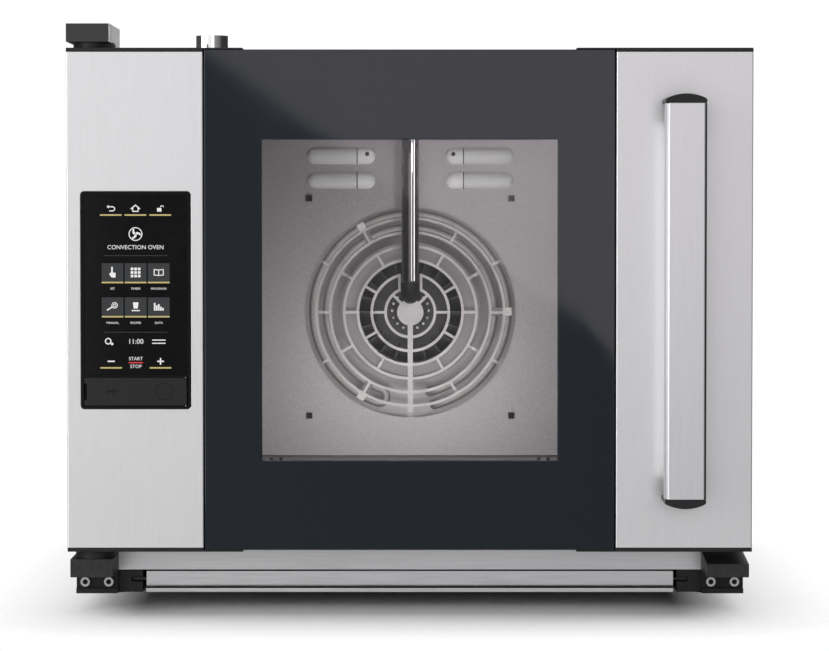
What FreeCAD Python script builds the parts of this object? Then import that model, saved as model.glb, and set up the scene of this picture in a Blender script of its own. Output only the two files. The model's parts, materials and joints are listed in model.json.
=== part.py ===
import FreeCAD, Part
import math
import os
import re
import Sketcher
from FreeCAD import Placement, Rotation, Vector

# Countertop convection oven for four trays, in millimetres.
# X runs to the right, Y to the back and Z up; the origin lies on the floor under the middle of the oven.

SIZES = {
    # casing
    "oven_width": 600.0,
    "body_depth": 536.5,
    "side_inset": 2.0,
    "foot_height": 14.0,
    "foot_radius": 20.0,
    "foot_top_radius": 17.0,
    "foot_front_inset": 135.0,
    "foot_rear_inset": 60.0,
    "base_height": 20.0,
    "rail_width": 34.0,
    "rail_wall": 2.0,
    "sheet": 1.5,
    "front_wall": 2.0,
    "rear_reach": 16.5,
    # oven cavity
    "cavity_height": 332.0,
    "cavity_lift": 74.0,
    "cavity_drop": 52.0,
    "cavity_margin": 60.0,
    "rear_space": 174.5,
    "fan_chamber": 62.0,
    "liner_wall": 1.5,
    "wool_thick": 30.0,
    # door
    "door_thickness": 60.0,
    "door_lift": 23.0,
    "door_over": 6.0,
    "swing_clearance": 1.5815,
    "fascia_depth": 34.0,
    "fascia_wall": 1.5,
    "fascia_round": 1.2,
    "fascia_width": 119.5,
    "glass_thick": 5.0,
    "glass_gap": 1.0,
    "glass_margin": 1.5,
    "cap_height": 3.7,
    "cap_reach": 34.5,
    "window_margin": 39.5,
    "window_lift": 68.0,
    "window_drop": 68.0,
    "pan_wall": 1.5,
    "pan_inset": 1.0,
    "inner_glass_thick": 4.0,
    "inner_glass_inset": 4.0,
    "lamp_width": 9.0,
    "lamp_depth": 12.0,
    "lamp_margin": 15.0,
    "clip_width": 14.0,
    "clip_height": 7.0,
    "clip_depth": 4.0,
    "clip_inset": 21.0,
    "peg_radius": 1.5,
    "peg_rise": 4.0,
    "peg_pitch": 8.5,
    # hinges
    "hinge_inset": 23.0,
    "hinge_depth": 22.0,
    "pin_radius": 6.0,
    "pin_engage": 16.0,
    "pin_cover": 1.0,
    "bush_radius": 17.6,
    "sleeve_radius": 11.0,
    "sleeve_wall": 2.0,
    "arm_width": 38.0,
    "arm_height": 16.0,
    "arm_lift": 5.2,
    "arm_seat": 40.0,
    "arm_setback": 1.0,
    "arm_screw_first": 10.0,
    "arm_screw_pitch": 20.0,
    "block_drop": 7.0,
    "block_width": 37.0,
    "block_setback": 4.0,
    "bracket_thick": 8.0,
    "bracket_lip": 4.0,
    "bracket_lip_height": 4.5,
    "ramp_front": 11.6,
    "ramp_back": 18.0,
    "screw_head_radius": 4.2,
    "screw_head_height": 4.0,
    "screw_radius": 2.5,
    "screw_socket_radius": 2.3,
    "screw_socket_depth": 2.5,
    "screw_pitch": 21.0,
    "screw_lift": 10.3,
    # handle
    "handle_reach": 48.0,
    "handle_width": 35.6,
    "handle_height": 342.0,
    "handle_shift": 0.2,
    "handle_inset": 62.0,
    "handle_bar_depth": 18.0,
    "handle_bevel": 3.0,
    "handle_edge": 2.0,
    "cap_band": 3.6,
    "cap_rise": 4.5,
    "cap_setback": 0.6,
    "post_width": 24.0,
    "post_height": 26.0,
    # touch control
    "touch_width": 95.0,
    "touch_height": 189.0,
    "touch_inset": 13.0,
    "touch_lift": 126.0,
    "touch_proud": 1.0,
    "touch_corner": 2.6,
    "touch_depth": 17.0,
    "screen_margin": 2.5,
    "screen_thick": 2.0,
    "flap_height": 24.5,
    "flap_margin": 2.4,
    "flap_thick": 3.0,
    "flap_pin_radius": 0.8,
    "flap_pin_engage": 1.4,
    "notch_width": 2.2,
    "notch_height": 14.0,
    "port_width": 20.0,
    "port_height": 10.0,
    "port_depth": 6.0,
    "port_inset": 18.0,
    "board_thick": 2.0,
    "board_margin": 4.0,
    # fan, guard and heating element
    "fan_lift": 145.0,
    "fan_radius": 70.0,
    "fan_depth": 40.0,
    "fan_setback": 12.0,
    "fan_eye_radius": 52.0,
    "fan_plate": 2.0,
    "blade_root": 36.0,
    "blade_thick": 1.4,
    "hub_radius": 14.0,
    "hub_length": 30.0,
    "nut_radius": 9.0,
    "nut_length": 7.0,
    "shaft_radius": 6.0,
    "seal_radius": 13.0,
    "seal_flange_radius": 18.0,
    "seal_flange": 2.0,
    "motor_plate_width": 140.0,
    "motor_plate_thick": 3.0,
    "motor_radius": 52.0,
    "motor_length": 58.0,
    "motor_fin_width": 3.0,
    "motor_fin_rise": 4.0,
    "motor_end": 3.0,
    "guard_thick": 1.5,
    "guard_side_gap": 20.0,
    "guard_end_gap": 2.0,
    "guard_hole_radius": 105.4,
    "guard_hub_radius": 13.2,
    "ring_first": 23.4,
    "ring_pitch": 13.8,
    "ring_width": 2.7,
    "bar_width": 2.6,
    "spine_width": 5.2,
    "notch_gap": 0.8,
    "louvre_inner": 35.0,
    "louvre_outer": 103.0,
    "louvre_end": 17.0,
    "louvre_split": 2.0,
    "louvre_radius": 8.2,
    "louvre_sink": 2.0,
    "louvre_drop": 31.0,
    "louvre_pitch": 24.4,
    "fixing_spread": 202.0,
    "fixing_drop": 17.8,
    "fixing_down": 103.2,
    "fixing_head": 6.0,
    "fixing_head_rise": 3.0,
    "fixing_post_radius": 5.0,
    "fixing_stud_radius": 2.5,
    "element_outer": 98.0,
    "element_inner": 84.0,
    "element_radius": 4.0,
    "element_setback": 30.0,
    "element_span": 320.0,
    "element_bend": 10.0,
    "element_tail": 12.0,
    "strap_length": 22.0,
    "strap_width": 8.0,
    "strap_thick": 1.2,
    "strap_post_radius": 2.5,
    # water tube and vent pipe
    "tube_radius": 8.65,
    "tube_wall": 1.2,
    "tube_standoff": 20.0,
    "tube_rise": 18.0,
    "tube_bend": 14.0,
    "tube_end": 8.0,
    "tube_top": 12.0,
    "tube_nut_radius": 13.0,
    "tube_nut_height": 9.0,
    "vent_radius": 15.0,
    "vent_neck": 0.5,
    "vent_wall": 1.4,
    "vent_rise": 28.0,
    "vent_inset": 111.0,
    "vent_setback": 182.0,
    "flange_radius": 24.0,
    "flange_height": 2.0,
    # tray racks and gasket
    "rack_first": 30.0,
    "rack_pitch": 75.0,
    "rack_reach": 18.0,
    "rack_post": 4.0,
    "rack_bar": 3.0,
    "rack_post_width": 12.0,
    "rack_inset": 20.0,
    "rack_back": 32.0,
    "gasket_width": 8.0,
    "gasket_offset": 2.0,
    "magnet_width": 20.0,
    "magnet_height": 44.0,
    "magnet_inset": 26.0,
    "keeper_thick": 3.0,
    # drip tray and its guides
    "drip_depth": 430.0,
    "drip_wall": 1.2,
    "drip_drop": 1.0,
    "drip_lift": 1.3,
    "drip_front": 2.5,
    "drip_proud": 1.5,
    "drip_lip": 3.0,
    "drip_lip_height": 4.0,
    "drip_groove": 1.9,
    "drip_groove_depth": 1.2,
    "runner_width": 13.0,
    "runner_thick": 3.0,
    "runner_lift": 10.0,
    "guide_gap": 3.0,
    "guide_width": 23.0,
    "guide_length": 425.0,
    # rear fittings and electrics
    "inlet_radius": 13.2,
    "inlet_neck": 0.3,
    "inlet_bore": 9.0,
    "inlet_flange_radius": 19.0,
    "inlet_flange": 3.0,
    "inlet_inset": 98.0,
    "inlet_lift": 60.0,
    "fitting_inside": 18.0,
    "gland_radius": 12.5,
    "gland_bore": 6.5,
    "gland_flange_radius": 16.0,
    "gland_flange": 5.0,
    "gland_reach": 14.0,
    "gland_pitch": 70.0,
    "power_board_width": 170.0,
    "power_board_height": 120.0,
    "power_board_inset": 113.0,
    "power_board_drop": 72.0,
    "standoff_height": 10.0,
    "standoff_radius": 3.5,
    "relay_width": 28.0,
    "relay_height": 34.0,
    "relay_depth": 22.0,
    "relay_pitch": 42.0,
    "relay_inset": 35.0,
    "relay_lift": 14.0,
    "standoff_inset": 7.0,
    "blower_width": 80.0,
    "blower_depth": 25.0,
    "blower_bore": 37.0,
    "blower_tip": 35.5,
    "blower_hub": 15.0,
    "blower_spindle": 2.5,
    "blower_rib": 4.0,
    "blower_blade": 2.0,
    "blower_inset": 118.0,
    "blower_drop": 108.0,
    "vent_slot_width": 70.0,
    "vent_slot_height": 5.0,
    "vent_slot_pitch": 12.0,
    "cover_screw_inset": 10.0,
    "cover_screw_head": 4.0,
    "cover_screw_rise": 2.4,
    "cover_screw_radius": 2.0,
    "cover_screw_length": 8.0,
    # clearances
    "running_fit": 0.05,
    "fixed_fit": 0.1,
    "moving_gap": 0.3,
    "set_gap": 0.2,
}

GUARD_RINGS = 6
LOUVRE_ROWS = 2
HEX_SIDES = 6
FAN_BLADES = 20
MOTOR_FINS = 20
BLOWER_BLADES = 7
TRAY_LEVELS = 4
VENT_SLOTS = 9
COVER_SCREWS_PER_SIDE = 4
RELAYS = 3
STRAP_ANGLES = (0, 120, 240)

# Lengths and places that follow from the sizes.
PLACES = {
    "door_half": "oven_width / 2",
    "body_half": "oven_width / 2 - side_inset",
    "body_height": "cavity_lift + cavity_height + cavity_drop",
    "door_height": "body_height - door_lift + door_over",
    "hinge_arm": "door_thickness - hinge_depth",
    "hinge_swing": "sqrt(hinge_inset * hinge_inset + hinge_arm * hinge_arm) - hinge_arm",
    "seal_gap": "hinge_swing + swing_clearance",
    "total_depth": "handle_reach + door_thickness + seal_gap + body_depth + rear_reach",
    "handle_front": "-total_depth / 2",
    "door_front": "handle_front + handle_reach",
    "pan_front": "door_front + fascia_depth",
    "door_back": "door_front + door_thickness",
    "body_front": "door_back + seal_gap",
    "frame_back": "body_front + front_wall",
    "body_back": "body_front + body_depth",
    "cover_inside": "body_back - sheet",
    "base_low": "foot_height",
    "body_low": "foot_height + base_height",
    "body_top": "body_low + body_height",
    "door_low": "body_low + door_lift",
    "door_top": "door_low + door_height",
    "glass_low": "door_low + glass_margin",
    "glass_top": "door_top - glass_margin",
    "fascia_edge": "door_half - fascia_width",
    "glass_half": "fascia_edge - glass_gap",
    "fascia_low": "door_low + cap_height",
    "fascia_top": "door_top - cap_height",
    "window_half": "glass_half - window_margin",
    "window_low": "door_low + window_lift",
    "window_top": "door_top - window_drop",
    "lamp_height": "window_top - window_low - 2 * lamp_margin",
    "cavity_half": "door_half - cavity_margin",
    "cavity_low": "body_low + cavity_lift",
    "cavity_top": "cavity_low + cavity_height",
    "guard_front": "body_back - rear_space",
    "guard_back": "guard_front + guard_thick",
    "liner_end": "guard_front + fan_chamber",
    "liner_back": "liner_end + liner_wall",
    "liner_half": "cavity_half + liner_wall",
    "liner_low": "cavity_low - liner_wall",
    "liner_top": "cavity_top + liner_wall",
    "wool_back": "liner_back + wool_thick",
    "wool_half": "liner_half + wool_thick",
    "wool_low": "liner_low - wool_thick",
    "wool_top": "liner_top + wool_thick",
    "fan_axis": "cavity_low + fan_lift",
    "louvre_height": "cavity_top - louvre_drop",
    "fixing_high": "louvre_height - louvre_pitch - fixing_drop",
    "fixing_low": "fan_axis - fixing_down",
    "fan_front": "guard_front + fan_setback",
    "fan_back": "fan_front + fan_depth",
    "motor_front": "wool_back + motor_plate_thick",
    "motor_back": "motor_front + motor_length",
    "element_plane": "guard_front + element_setback",
    "element_middle": "(element_outer + element_inner) / 2",
    "strap_back": "element_plane - element_radius - set_gap",
    "tube_place": "guard_front - tube_standoff",
    "tube_low": "fan_axis + tube_rise",
    "vent_side": "body_half - vent_inset",
    "vent_place": "body_front + vent_setback",
    "vent_neck_radius": "vent_radius - vent_neck",
    "hinge_x": "hinge_inset - door_half",
    "hinge_y": "door_front + hinge_depth",
    "arm_low": "door_top + arm_lift",
    "arm_top": "arm_low + arm_height",
    "screw_seat": "arm_top - screw_head_height",
    "block_top": "door_low - block_drop",
    "block_front": "door_front + block_setback",
    "bracket_front": "body_front - bracket_thick",
    "bracket_outer": "door_half - side_inset",
    "handle_middle": "door_half - handle_inset",
    "handle_low": "(door_low + door_top - handle_height) / 2 + handle_shift",
    "handle_top": "handle_low + handle_height",
    "handle_back": "handle_front + handle_bar_depth",
    "cap_curve": "(handle_width * handle_width / 4 + cap_rise * cap_rise) / (2 * cap_rise)",
    "touch_left": "touch_inset - door_half",
    "touch_right": "touch_left + touch_width",
    "touch_low": "door_low + touch_lift",
    "touch_top": "touch_low + touch_height",
    "touch_front": "door_front - touch_proud",
    "touch_back": "touch_front + touch_depth",
    "flap_low": "touch_low + flap_margin",
    "flap_top": "flap_low + flap_height",
    "flap_left": "touch_left + flap_margin",
    "flap_knuckle": "flap_thick / 2",
    "flap_axis": "touch_right - flap_margin - flap_knuckle",
    "flap_pivot": "touch_front + flap_knuckle",
    "screen_low": "flap_top + flap_margin",
    "guide_outer": "body_half - side_inset - rail_width",
    "guide_inner": "guide_outer - guide_width",
    "drip_half": "guide_inner - guide_gap",
    "drip_low": "base_low + drip_lift",
    "drip_top": "body_low - drip_drop",
    "drip_face": "body_front - drip_proud",
    "runner_low": "base_low + runner_lift",
    "runner_edge": "drip_half + runner_width",
    "inlet_side": "body_half - inlet_inset",
    "gland_side": "inlet_side - gland_pitch",
    "inlet_height": "body_low + inlet_lift",
    "inlet_neck_radius": "inlet_radius - inlet_neck",
    "blower_back": "cover_inside",
    "blower_front": "cover_inside - blower_depth",
    "blower_side": "body_half - blower_inset",
    "blower_height": "body_top - blower_drop",
    "power_board_side": "body_half - power_board_inset",
    "power_low": "body_top - power_board_drop - power_board_height",
    "power_front": "wool_back + standoff_height",
}

doc = FreeCAD.newDocument("ConvectionOven")
sheet = doc.addObject("Spreadsheet::Sheet", "Sizes")
for row, (alias, value) in enumerate(SIZES.items(), start=1):
    sheet.set(f"A{row}", alias)
    sheet.set(f"B{row}", str(value))
    sheet.setAlias(f"B{row}", alias)
doc.recompute()

PLAIN_WORD = re.compile(r"\b[a-z][a-z_]*\b(?!\()")
AXIS_TURN = {
    "x": Rotation(Vector(0, 1, 0), 90),
    "y": Rotation(Vector(1, 0, 0), -90),
    "z": Rotation(),
}
PARALLEL_SLACK = 0.01
SUB_PARTS = []


def formula(text):
    """Spell a length out as an expression on the sheet's cells."""
    def spell(match):
        word = match.group(0)
        if word in PLACES:
            return "(" + formula(PLACES[word]) + ")"
        return "Sizes." + word if word in SIZES else word
    return PLAIN_WORD.sub(spell, str(text))


def measure(text):
    """The present value of a length formula."""
    return float(sheet.evalExpression(formula(text)))


def finish(part, label):
    """Name a sub-part and keep it for the export."""
    part.Label = label
    SUB_PARTS.append(part)
    return part


def block(name, x, y, z):
    """A rectangular block between two faces along each axis."""
    box = doc.addObject("Part::Box", name)
    for axis, length, (low, high) in zip("xyz", ("Length", "Width", "Height"), (x, y, z)):
        box.setExpression("Placement.Base." + axis, formula(low))
        box.setExpression(length, formula(f"({high}) - ({low})"))
    return box


def rod(name, axis, middle, radius, low, high):
    """A round bar along one axis; middle gives its other two coordinates in x, y, z order."""
    bar = doc.addObject("Part::Cylinder", name)
    bar.Placement = Placement(Vector(), AXIS_TURN[axis])
    places = dict(zip([other for other in "xyz" if other != axis], middle))
    places[axis] = low
    for direction, place in places.items():
        bar.setExpression("Placement.Base." + direction, formula(place))
    bar.setExpression("Radius", formula(radius))
    bar.setExpression("Height", formula(f"({high}) - ({low})"))
    return bar


def spoke(name, angle, inner, outer, width, front, back):
    """A flat bar pointing away from the fan's axis at an angle from +X towards +Z."""
    bar = doc.addObject("Part::Box", name)
    bar.Placement = Placement(Vector(), Rotation(Vector(0, -1, 0), angle))
    bar.setExpression("Length", formula(f"({outer}) - ({inner})"))
    bar.setExpression("Width", formula(f"({back}) - ({front})"))
    bar.setExpression("Height", formula(width))
    across = f"({width}) / 2"
    bar.setExpression("Placement.Base.x", formula(f"({inner}) * cos({angle}) + {across} * sin({angle})"))
    bar.setExpression("Placement.Base.y", formula(front))
    rise = f"fan_axis + ({inner}) * sin({angle}) - {across} * cos({angle})"
    bar.setExpression("Placement.Base.z", formula(rise))
    return bar


def join(name, *pieces):
    """One solid made of several."""
    whole = doc.addObject("Part::MultiFuse", name)
    whole.Shapes = list(pieces)
    whole.Refine = True
    return whole


def cut(name, base, *tools):
    """A solid with others taken out of it."""
    result = doc.addObject("Part::Cut", name)
    result.Base = base
    result.Tool = tools[0] if len(tools) == 1 else join(name + "_tools", *tools)
    return result


def overlap(name, first, second):
    """What two solids share."""
    result = doc.addObject("Part::Common", name)
    result.Base = first
    result.Tool = second
    return result


def group(name, *pieces):
    """Separate solids kept in one sub-part."""
    several = doc.addObject("Part::Compound", name)
    several.Links = list(pieces)
    return several


def new_body(name):
    """An empty body that may hold separate solids."""
    body = doc.addObject("PartDesign::Body", name)
    body.AllowCompound = True
    return body


def polygon(sketch, *points):
    """A closed outline through corners given as pairs of formulas."""
    first = sketch.GeometryCount
    corners = [Vector(measure(across), measure(up), 0) for across, up in points]
    count = len(corners)
    for index, corner in enumerate(corners):
        sketch.addGeometry(Part.LineSegment(corner, corners[(index + 1) % count]), False)
    for index in range(count):
        following = first + (index + 1) % count
        sketch.addConstraint(Sketcher.Constraint("Coincident", first + index, 2, following, 1))
    for index, (point, corner) in enumerate(zip(points, corners)):
        for kind, text, value in zip(("DistanceX", "DistanceY"), point, corner):
            held = sketch.addConstraint(Sketcher.Constraint(kind, -1, 1, first + index, 1, value))
            sketch.setExpression(f"Constraints[{held}]", formula(text))


def rectangle(sketch, across, up):
    """A rectangle between two formulas along each direction of the sketch."""
    (left, right), (low, high) = across, up
    polygon(sketch, (left, low), (right, low), (right, high), (left, high))


def circle(sketch, across, up, radius):
    """A circle about a point of the sketch."""
    centre = Vector(measure(across), measure(up), 0)
    ring = sketch.addGeometry(Part.Circle(centre, Vector(0, 0, 1), measure(radius)), False)
    for kind, text, value in zip(("DistanceX", "DistanceY"), (across, up), centre):
        held = sketch.addConstraint(Sketcher.Constraint(kind, -1, 1, ring, 3, value))
        sketch.setExpression(f"Constraints[{held}]", formula(text))
    held = sketch.addConstraint(Sketcher.Constraint("Radius", ring, measure(radius)))
    sketch.setExpression(f"Constraints[{held}]", formula(radius))


def new_sketch(body, name, plane, at, lift="0"):
    """A sketch parallel to one of the body's planes; at is its place along the third axis."""
    sketch = body.newObject("Sketcher::SketchObject", name)
    base = next(item for item in body.Origin.OriginFeatures if item.Role == plane + "_Plane")
    sketch.AttachmentSupport = (base, [""])
    sketch.MapMode = "FlatFace"
    side = "-" if plane == "XZ" else ""
    sketch.setExpression("AttachmentOffset.Base.z", formula(f"{side}({at})"))
    sketch.setExpression("AttachmentOffset.Base.y", formula(lift))
    return sketch


def pad(body, sketch, length, backwards=False):
    """Material raised from a sketch: forwards, up or to the right, or the other way."""
    feature = body.newObject("PartDesign::Pad", sketch.Name + "_pad")
    feature.Profile = sketch
    feature.Reversed = backwards
    feature.setExpression("Length", formula(length))
    sketch.Visibility = False
    return feature


def pocket(body, sketch, depth, backwards=False):
    """Material taken out behind a sketch, below it or to its left, or the other way."""
    doc.recompute()
    before = body.Shape.Volume
    feature = body.newObject("PartDesign::Pocket", sketch.Name + "_pocket")
    feature.Profile = sketch
    feature.Reversed = backwards
    feature.setExpression("Length", formula(depth))
    doc.recompute()
    if not body.Shape.Volume < before:
        raise RuntimeError(f"{sketch.Name} cuts nothing")
    return feature


def polar(body, features, sketch, count):
    """Copies of features, evenly about the axis through a sketch's origin."""
    doc.recompute()
    pattern = body.newObject("PartDesign::PolarPattern", body.Name + "_pattern")
    pattern.Originals = features
    pattern.Axis = (sketch, ["N_Axis"])
    pattern.Angle = 360
    pattern.Occurrences = count
    body.Tip = pattern
    return pattern


def round_edges(body, radius, axis, chosen):
    """Round the straight edges along one axis whose middle passes a test."""
    doc.recompute()
    base = body.Tip
    along = AXIS_TURN[axis].multVec(Vector(0, 0, 1))
    names = []
    for index, edge in enumerate(body.Shape.Edges, start=1):
        if not isinstance(edge.Curve, Part.Line) or not chosen(edge.CenterOfMass):
            continue
        if edge.Curve.Direction.cross(along).Length < PARALLEL_SLACK:
            names.append(f"Edge{index}")
    rounding = body.newObject("PartDesign::Fillet", body.Name + "_rounding_" + axis)
    rounding.Base = (base, names)
    rounding.setExpression("Radius", formula(radius))
    return rounding


def front_plate(name, across, up, back, thick, *holes):
    """A plate facing the front; holes are drawn on its sketch."""
    body = new_body(name)
    outline = new_sketch(body, name + "_outline", "XZ", back)
    rectangle(outline, across, up)
    for hole in holes:
        hole(outline)
    pad(body, outline, thick)
    return body


def both_sides(edge):
    """The pair of faces at equal distances left and right of the middle."""
    return f"-({edge})", edge


# Casing

def make_casing():
    """Sheet shells round the oven, each resting edge to face on its neighbours."""
    inner = both_sides("body_half - sheet")
    length = ("frame_back", "cover_inside")
    mouth = lambda sketch: rectangle(sketch, both_sides("cavity_half"), ("cavity_low", "cavity_top"))
    frame = front_plate("front_frame", both_sides("body_half"), ("body_low", "body_top"),
                        "frame_back", "front_wall", mouth)
    finish(frame, "front_frame")
    for side, sign in (("left", "-"), ("right", "")):
        faces = sorted((f"{sign}body_half", f"{sign}(body_half - sheet)"), key=measure)
        finish(block(side + "_side", faces, length, ("body_low", "body_top")), side + "_side_panel")
    lid = block("lid", inner, length, ("body_top - sheet", "body_top"))
    vent = rod("lid_hole", "z", ("-vent_side", "vent_place"), "vent_neck_radius + fixed_fit",
               "body_top - 2 * sheet", "body_top + sheet")
    finish(cut("lid_cut", lid, vent), "top_cover")
    finish(block("pan_sheet", inner, length, ("body_low", "body_low + sheet")), "floor_pan")


def make_rear_cover():
    """Rear sheet with rows of vent slots, holes for the fittings and its screws."""
    body = new_body("rear_cover")
    outline = new_sketch(body, "rear_outline", "XZ", "body_back")
    rectangle(outline, both_sides("body_half"), ("body_low", "body_top"))
    circle(outline, "inlet_side", "inlet_height", "inlet_neck_radius + fixed_fit")
    circle(outline, "gland_side", "inlet_height", "gland_radius + fixed_fit")
    edge = "body_half - cover_screw_inset"
    spacing = f"(body_height - 2 * cover_screw_inset) / {COVER_SCREWS_PER_SIDE - 1}"
    spots = [(sign + "(" + edge + ")", f"body_low + cover_screw_inset + {index} * {spacing}")
             for sign in ("-", "") for index in range(COVER_SCREWS_PER_SIDE)]
    for across, up in spots:
        circle(outline, across, up, "cover_screw_radius + fixed_fit")
    for middle in ("-blower_side", "blower_side"):
        for index in range(VENT_SLOTS):
            slot = f"blower_height + ({index} - {(VENT_SLOTS - 1) / 2}) * vent_slot_pitch"
            rectangle(outline, (f"{middle} - vent_slot_width / 2", f"{middle} + vent_slot_width / 2"),
                      (f"{slot} - vent_slot_height / 2", f"{slot} + vent_slot_height / 2"))
    pad(body, outline, "sheet")
    finish(body, "rear_cover")
    screws = []
    for index, spot in enumerate(spots):
        head = rod(f"cover_head_{index}", "y", spot, "cover_screw_head", "body_back",
                   "body_back + cover_screw_rise")
        shank = rod(f"cover_shank_{index}", "y", spot, "cover_screw_radius",
                    "body_back - cover_screw_length", "body_back")
        screws.append(join(f"cover_screw_{index}", head, shank))
    finish(group("cover_screws", *screws), "rear_cover_screws")


def make_base():
    """Channel base frame, open at the front for the drip tray, on four feet."""
    outer = "body_half - side_inset"
    inner = "guide_outer"
    back = "body_back - rail_wall"
    body = new_body("base")
    outline = new_sketch(body, "base_outline", "XY", "base_low")
    polygon(outline, (f"-({outer})", "body_front"), (f"-({inner})", "body_front"),
            (f"-({inner})", f"{back} - rail_width"), (inner, f"{back} - rail_width"),
            (inner, "body_front"), (outer, "body_front"), (outer, back), (f"-({outer})", back))
    pad(body, outline, "base_height")
    hollow = new_sketch(body, "base_hollow", "XY", "body_low")
    far, near = f"{outer} - rail_wall", f"{inner} + rail_wall"
    start, middle = "body_front + rail_wall", f"{back} - rail_width + rail_wall"
    end = f"{back} - rail_wall"
    polygon(hollow, (f"-({far})", start), (f"-({near})", start), (f"-({near})", middle),
            (near, middle), (near, start), (far, start), (far, end), (f"-({far})", end))
    pocket(body, hollow, "base_height - rail_wall")
    holes = new_sketch(body, "base_screw_holes", "XZ", "body_front")
    for across in bracket_screw_places():
        circle(holes, across, "base_low + screw_lift", "screw_radius + fixed_fit")
    pocket(body, holes, "rail_wall")
    finish(body, "base_frame")
    feet = []
    for name, across, along in (
            ("front_left", "-", "body_front + foot_front_inset"),
            ("front_right", "", "body_front + foot_front_inset"),
            ("rear_left", "-", "body_back - foot_rear_inset"),
            ("rear_right", "", "body_back - foot_rear_inset")):
        foot = doc.addObject("Part::Cone", "foot_" + name)
        foot.setExpression("Radius1", formula("foot_radius"))
        foot.setExpression("Radius2", formula("foot_top_radius"))
        foot.setExpression("Height", formula("foot_height"))
        foot.setExpression("Placement.Base.x", formula(f"{across}({outer} - rail_width / 2)"))
        foot.setExpression("Placement.Base.y", formula(along))
        feet.append(foot)
    finish(group("foot_group", *feet), "feet")


# Cavity

def make_liner():
    """Cavity box open at the front, with its passages, inside an insulation jacket."""
    tails = element_tail_places()
    body = new_body("liner")
    outline = new_sketch(body, "liner_outline", "XZ", "liner_back")
    rectangle(outline, both_sides("liner_half"), ("liner_low", "liner_top"))
    pad(body, outline, "liner_back - frame_back")
    inside = new_sketch(body, "liner_inside", "XZ", "frame_back")
    rectangle(inside, both_sides("cavity_half"), ("cavity_low", "cavity_top"))
    pocket(body, inside, "liner_end - frame_back")
    passages = new_sketch(body, "liner_passages", "XZ", "liner_end")
    circle(passages, "0", "fan_axis", "seal_radius + fixed_fit")
    for across, up in tails:
        circle(passages, across, up, "element_radius + fixed_fit")
    pocket(body, passages, "liner_wall")
    ceiling = new_sketch(body, "liner_ceiling", "XY", "liner_top")
    circle(ceiling, "-vent_side", "vent_place", "vent_neck_radius + fixed_fit")
    circle(ceiling, "0", "tube_place", "tube_radius + fixed_fit")
    pocket(body, ceiling, "liner_wall")
    finish(body, "cavity_liner")

    jacket = block("jacket", both_sides("wool_half"), ("frame_back", "wool_back"), ("wool_low", "wool_top"))
    core = block("jacket_core", both_sides("liner_half"), ("frame_back - wool_thick", "liner_back"),
                 ("liner_low", "liner_top"))
    tools = [core]
    behind = ("liner_back - wool_thick", "wool_back + wool_thick")
    above = ("liner_top - wool_thick", "wool_top + wool_thick")
    tools.append(rod("jacket_shaft", "y", ("0", "fan_axis"), "seal_flange_radius + fixed_fit", *behind))
    for index, tail in enumerate(tails):
        tools.append(rod(f"jacket_tail_{index}", "y", tail, "element_radius + fixed_fit", *behind))
    tools.append(rod("jacket_vent", "z", ("-vent_side", "vent_place"),
                     "vent_neck_radius + fixed_fit", *above))
    tools.append(rod("jacket_tube", "z", ("0", "tube_place"), "tube_nut_radius + fixed_fit", *above))
    finish(cut("jacket_cut", jacket, *tools), "insulation")


def make_gasket_and_magnet():
    """Seal round the cavity mouth, and the magnet that holds the door shut."""
    inner, outer = "gasket_offset", "gasket_offset + gasket_width"
    hole = lambda sketch: rectangle(sketch, both_sides(f"cavity_half + {inner}"),
                                    (f"cavity_low - ({inner})", f"cavity_top + {inner}"))
    seal = front_plate("gasket", both_sides(f"cavity_half + {outer}"),
                       (f"cavity_low - ({outer})", f"cavity_top + {outer}"),
                       "body_front", "seal_gap - moving_gap", hole)
    finish(seal, "door_gasket")
    across = ("body_half - magnet_inset - magnet_width / 2", "body_half - magnet_inset + magnet_width / 2")
    middle = "(door_low + door_top) / 2"
    up = (f"{middle} - magnet_height / 2", f"{middle} + magnet_height / 2")
    finish(block("magnet", across, ("body_front - seal_gap + moving_gap", "body_front"), up), "door_magnet")
    keeper = ("door_back - pan_wall - keeper_thick", "door_back - pan_wall")
    finish(block("keeper", across, keeper, up), "magnet_keeper")


def make_racks():
    """Side racks with a ledge for each tray."""
    along = ("body_front + rack_inset", "guard_front - rack_back")
    for side, sign in (("left", "-"), ("right", "")):
        wall, post, reach = (f"{sign}({edge})" for edge in
                             ("cavity_half", "cavity_half - rack_post", "cavity_half - rack_reach"))
        pieces = []
        for end in (along[0], f"{along[1]} - rack_post_width"):
            pieces.append(block(f"{side}_rack_post_{len(pieces)}", sorted((wall, post), key=measure),
                                (end, f"{end} + rack_post_width"), ("cavity_low", "cavity_top - rack_first")))
        for level in range(TRAY_LEVELS):
            low = f"cavity_low + rack_first + {level} * rack_pitch"
            pieces.append(block(f"{side}_ledge_{level}", sorted((wall, reach), key=measure), along,
                                (low, f"{low} + rack_bar")))
        finish(join(side + "_rack", *pieces), side + "_tray_rack")


# Fan, guard and heating element

GUARD_BARS = {
    0: (45, 135, 270),
    1: (0, 180, 270),
    2: (30, 90, 150, 210, 270, 330),
    3: (0, 60, 90, 120, 180, 240, 270, 300),
    4: (30, 90, 150, 210, 270, 330),
    5: (0, 60, 90, 120, 180, 240, 270, 300),
    6: (30, 90, 150, 210, 270, 330),
}
SPINE_ANGLES = (90, 270)


def capsule(name, low, high, up, radius, depth):
    """A round bar with ball ends lying across the guard."""
    left, right = f"({low}) + ({radius})", f"({high}) - ({radius})"
    ends = []
    for index, across in enumerate((left, right)):
        ball = doc.addObject("Part::Sphere", f"{name}_end_{index}")
        ball.setExpression("Radius", formula(radius))
        for axis, place in zip("xyz", (across, depth, up)):
            ball.setExpression("Placement.Base." + axis, formula(place))
        ends.append(ball)
    return join(name, rod(name + "_middle", "x", (depth, up), radius, left, right), *ends)


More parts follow.
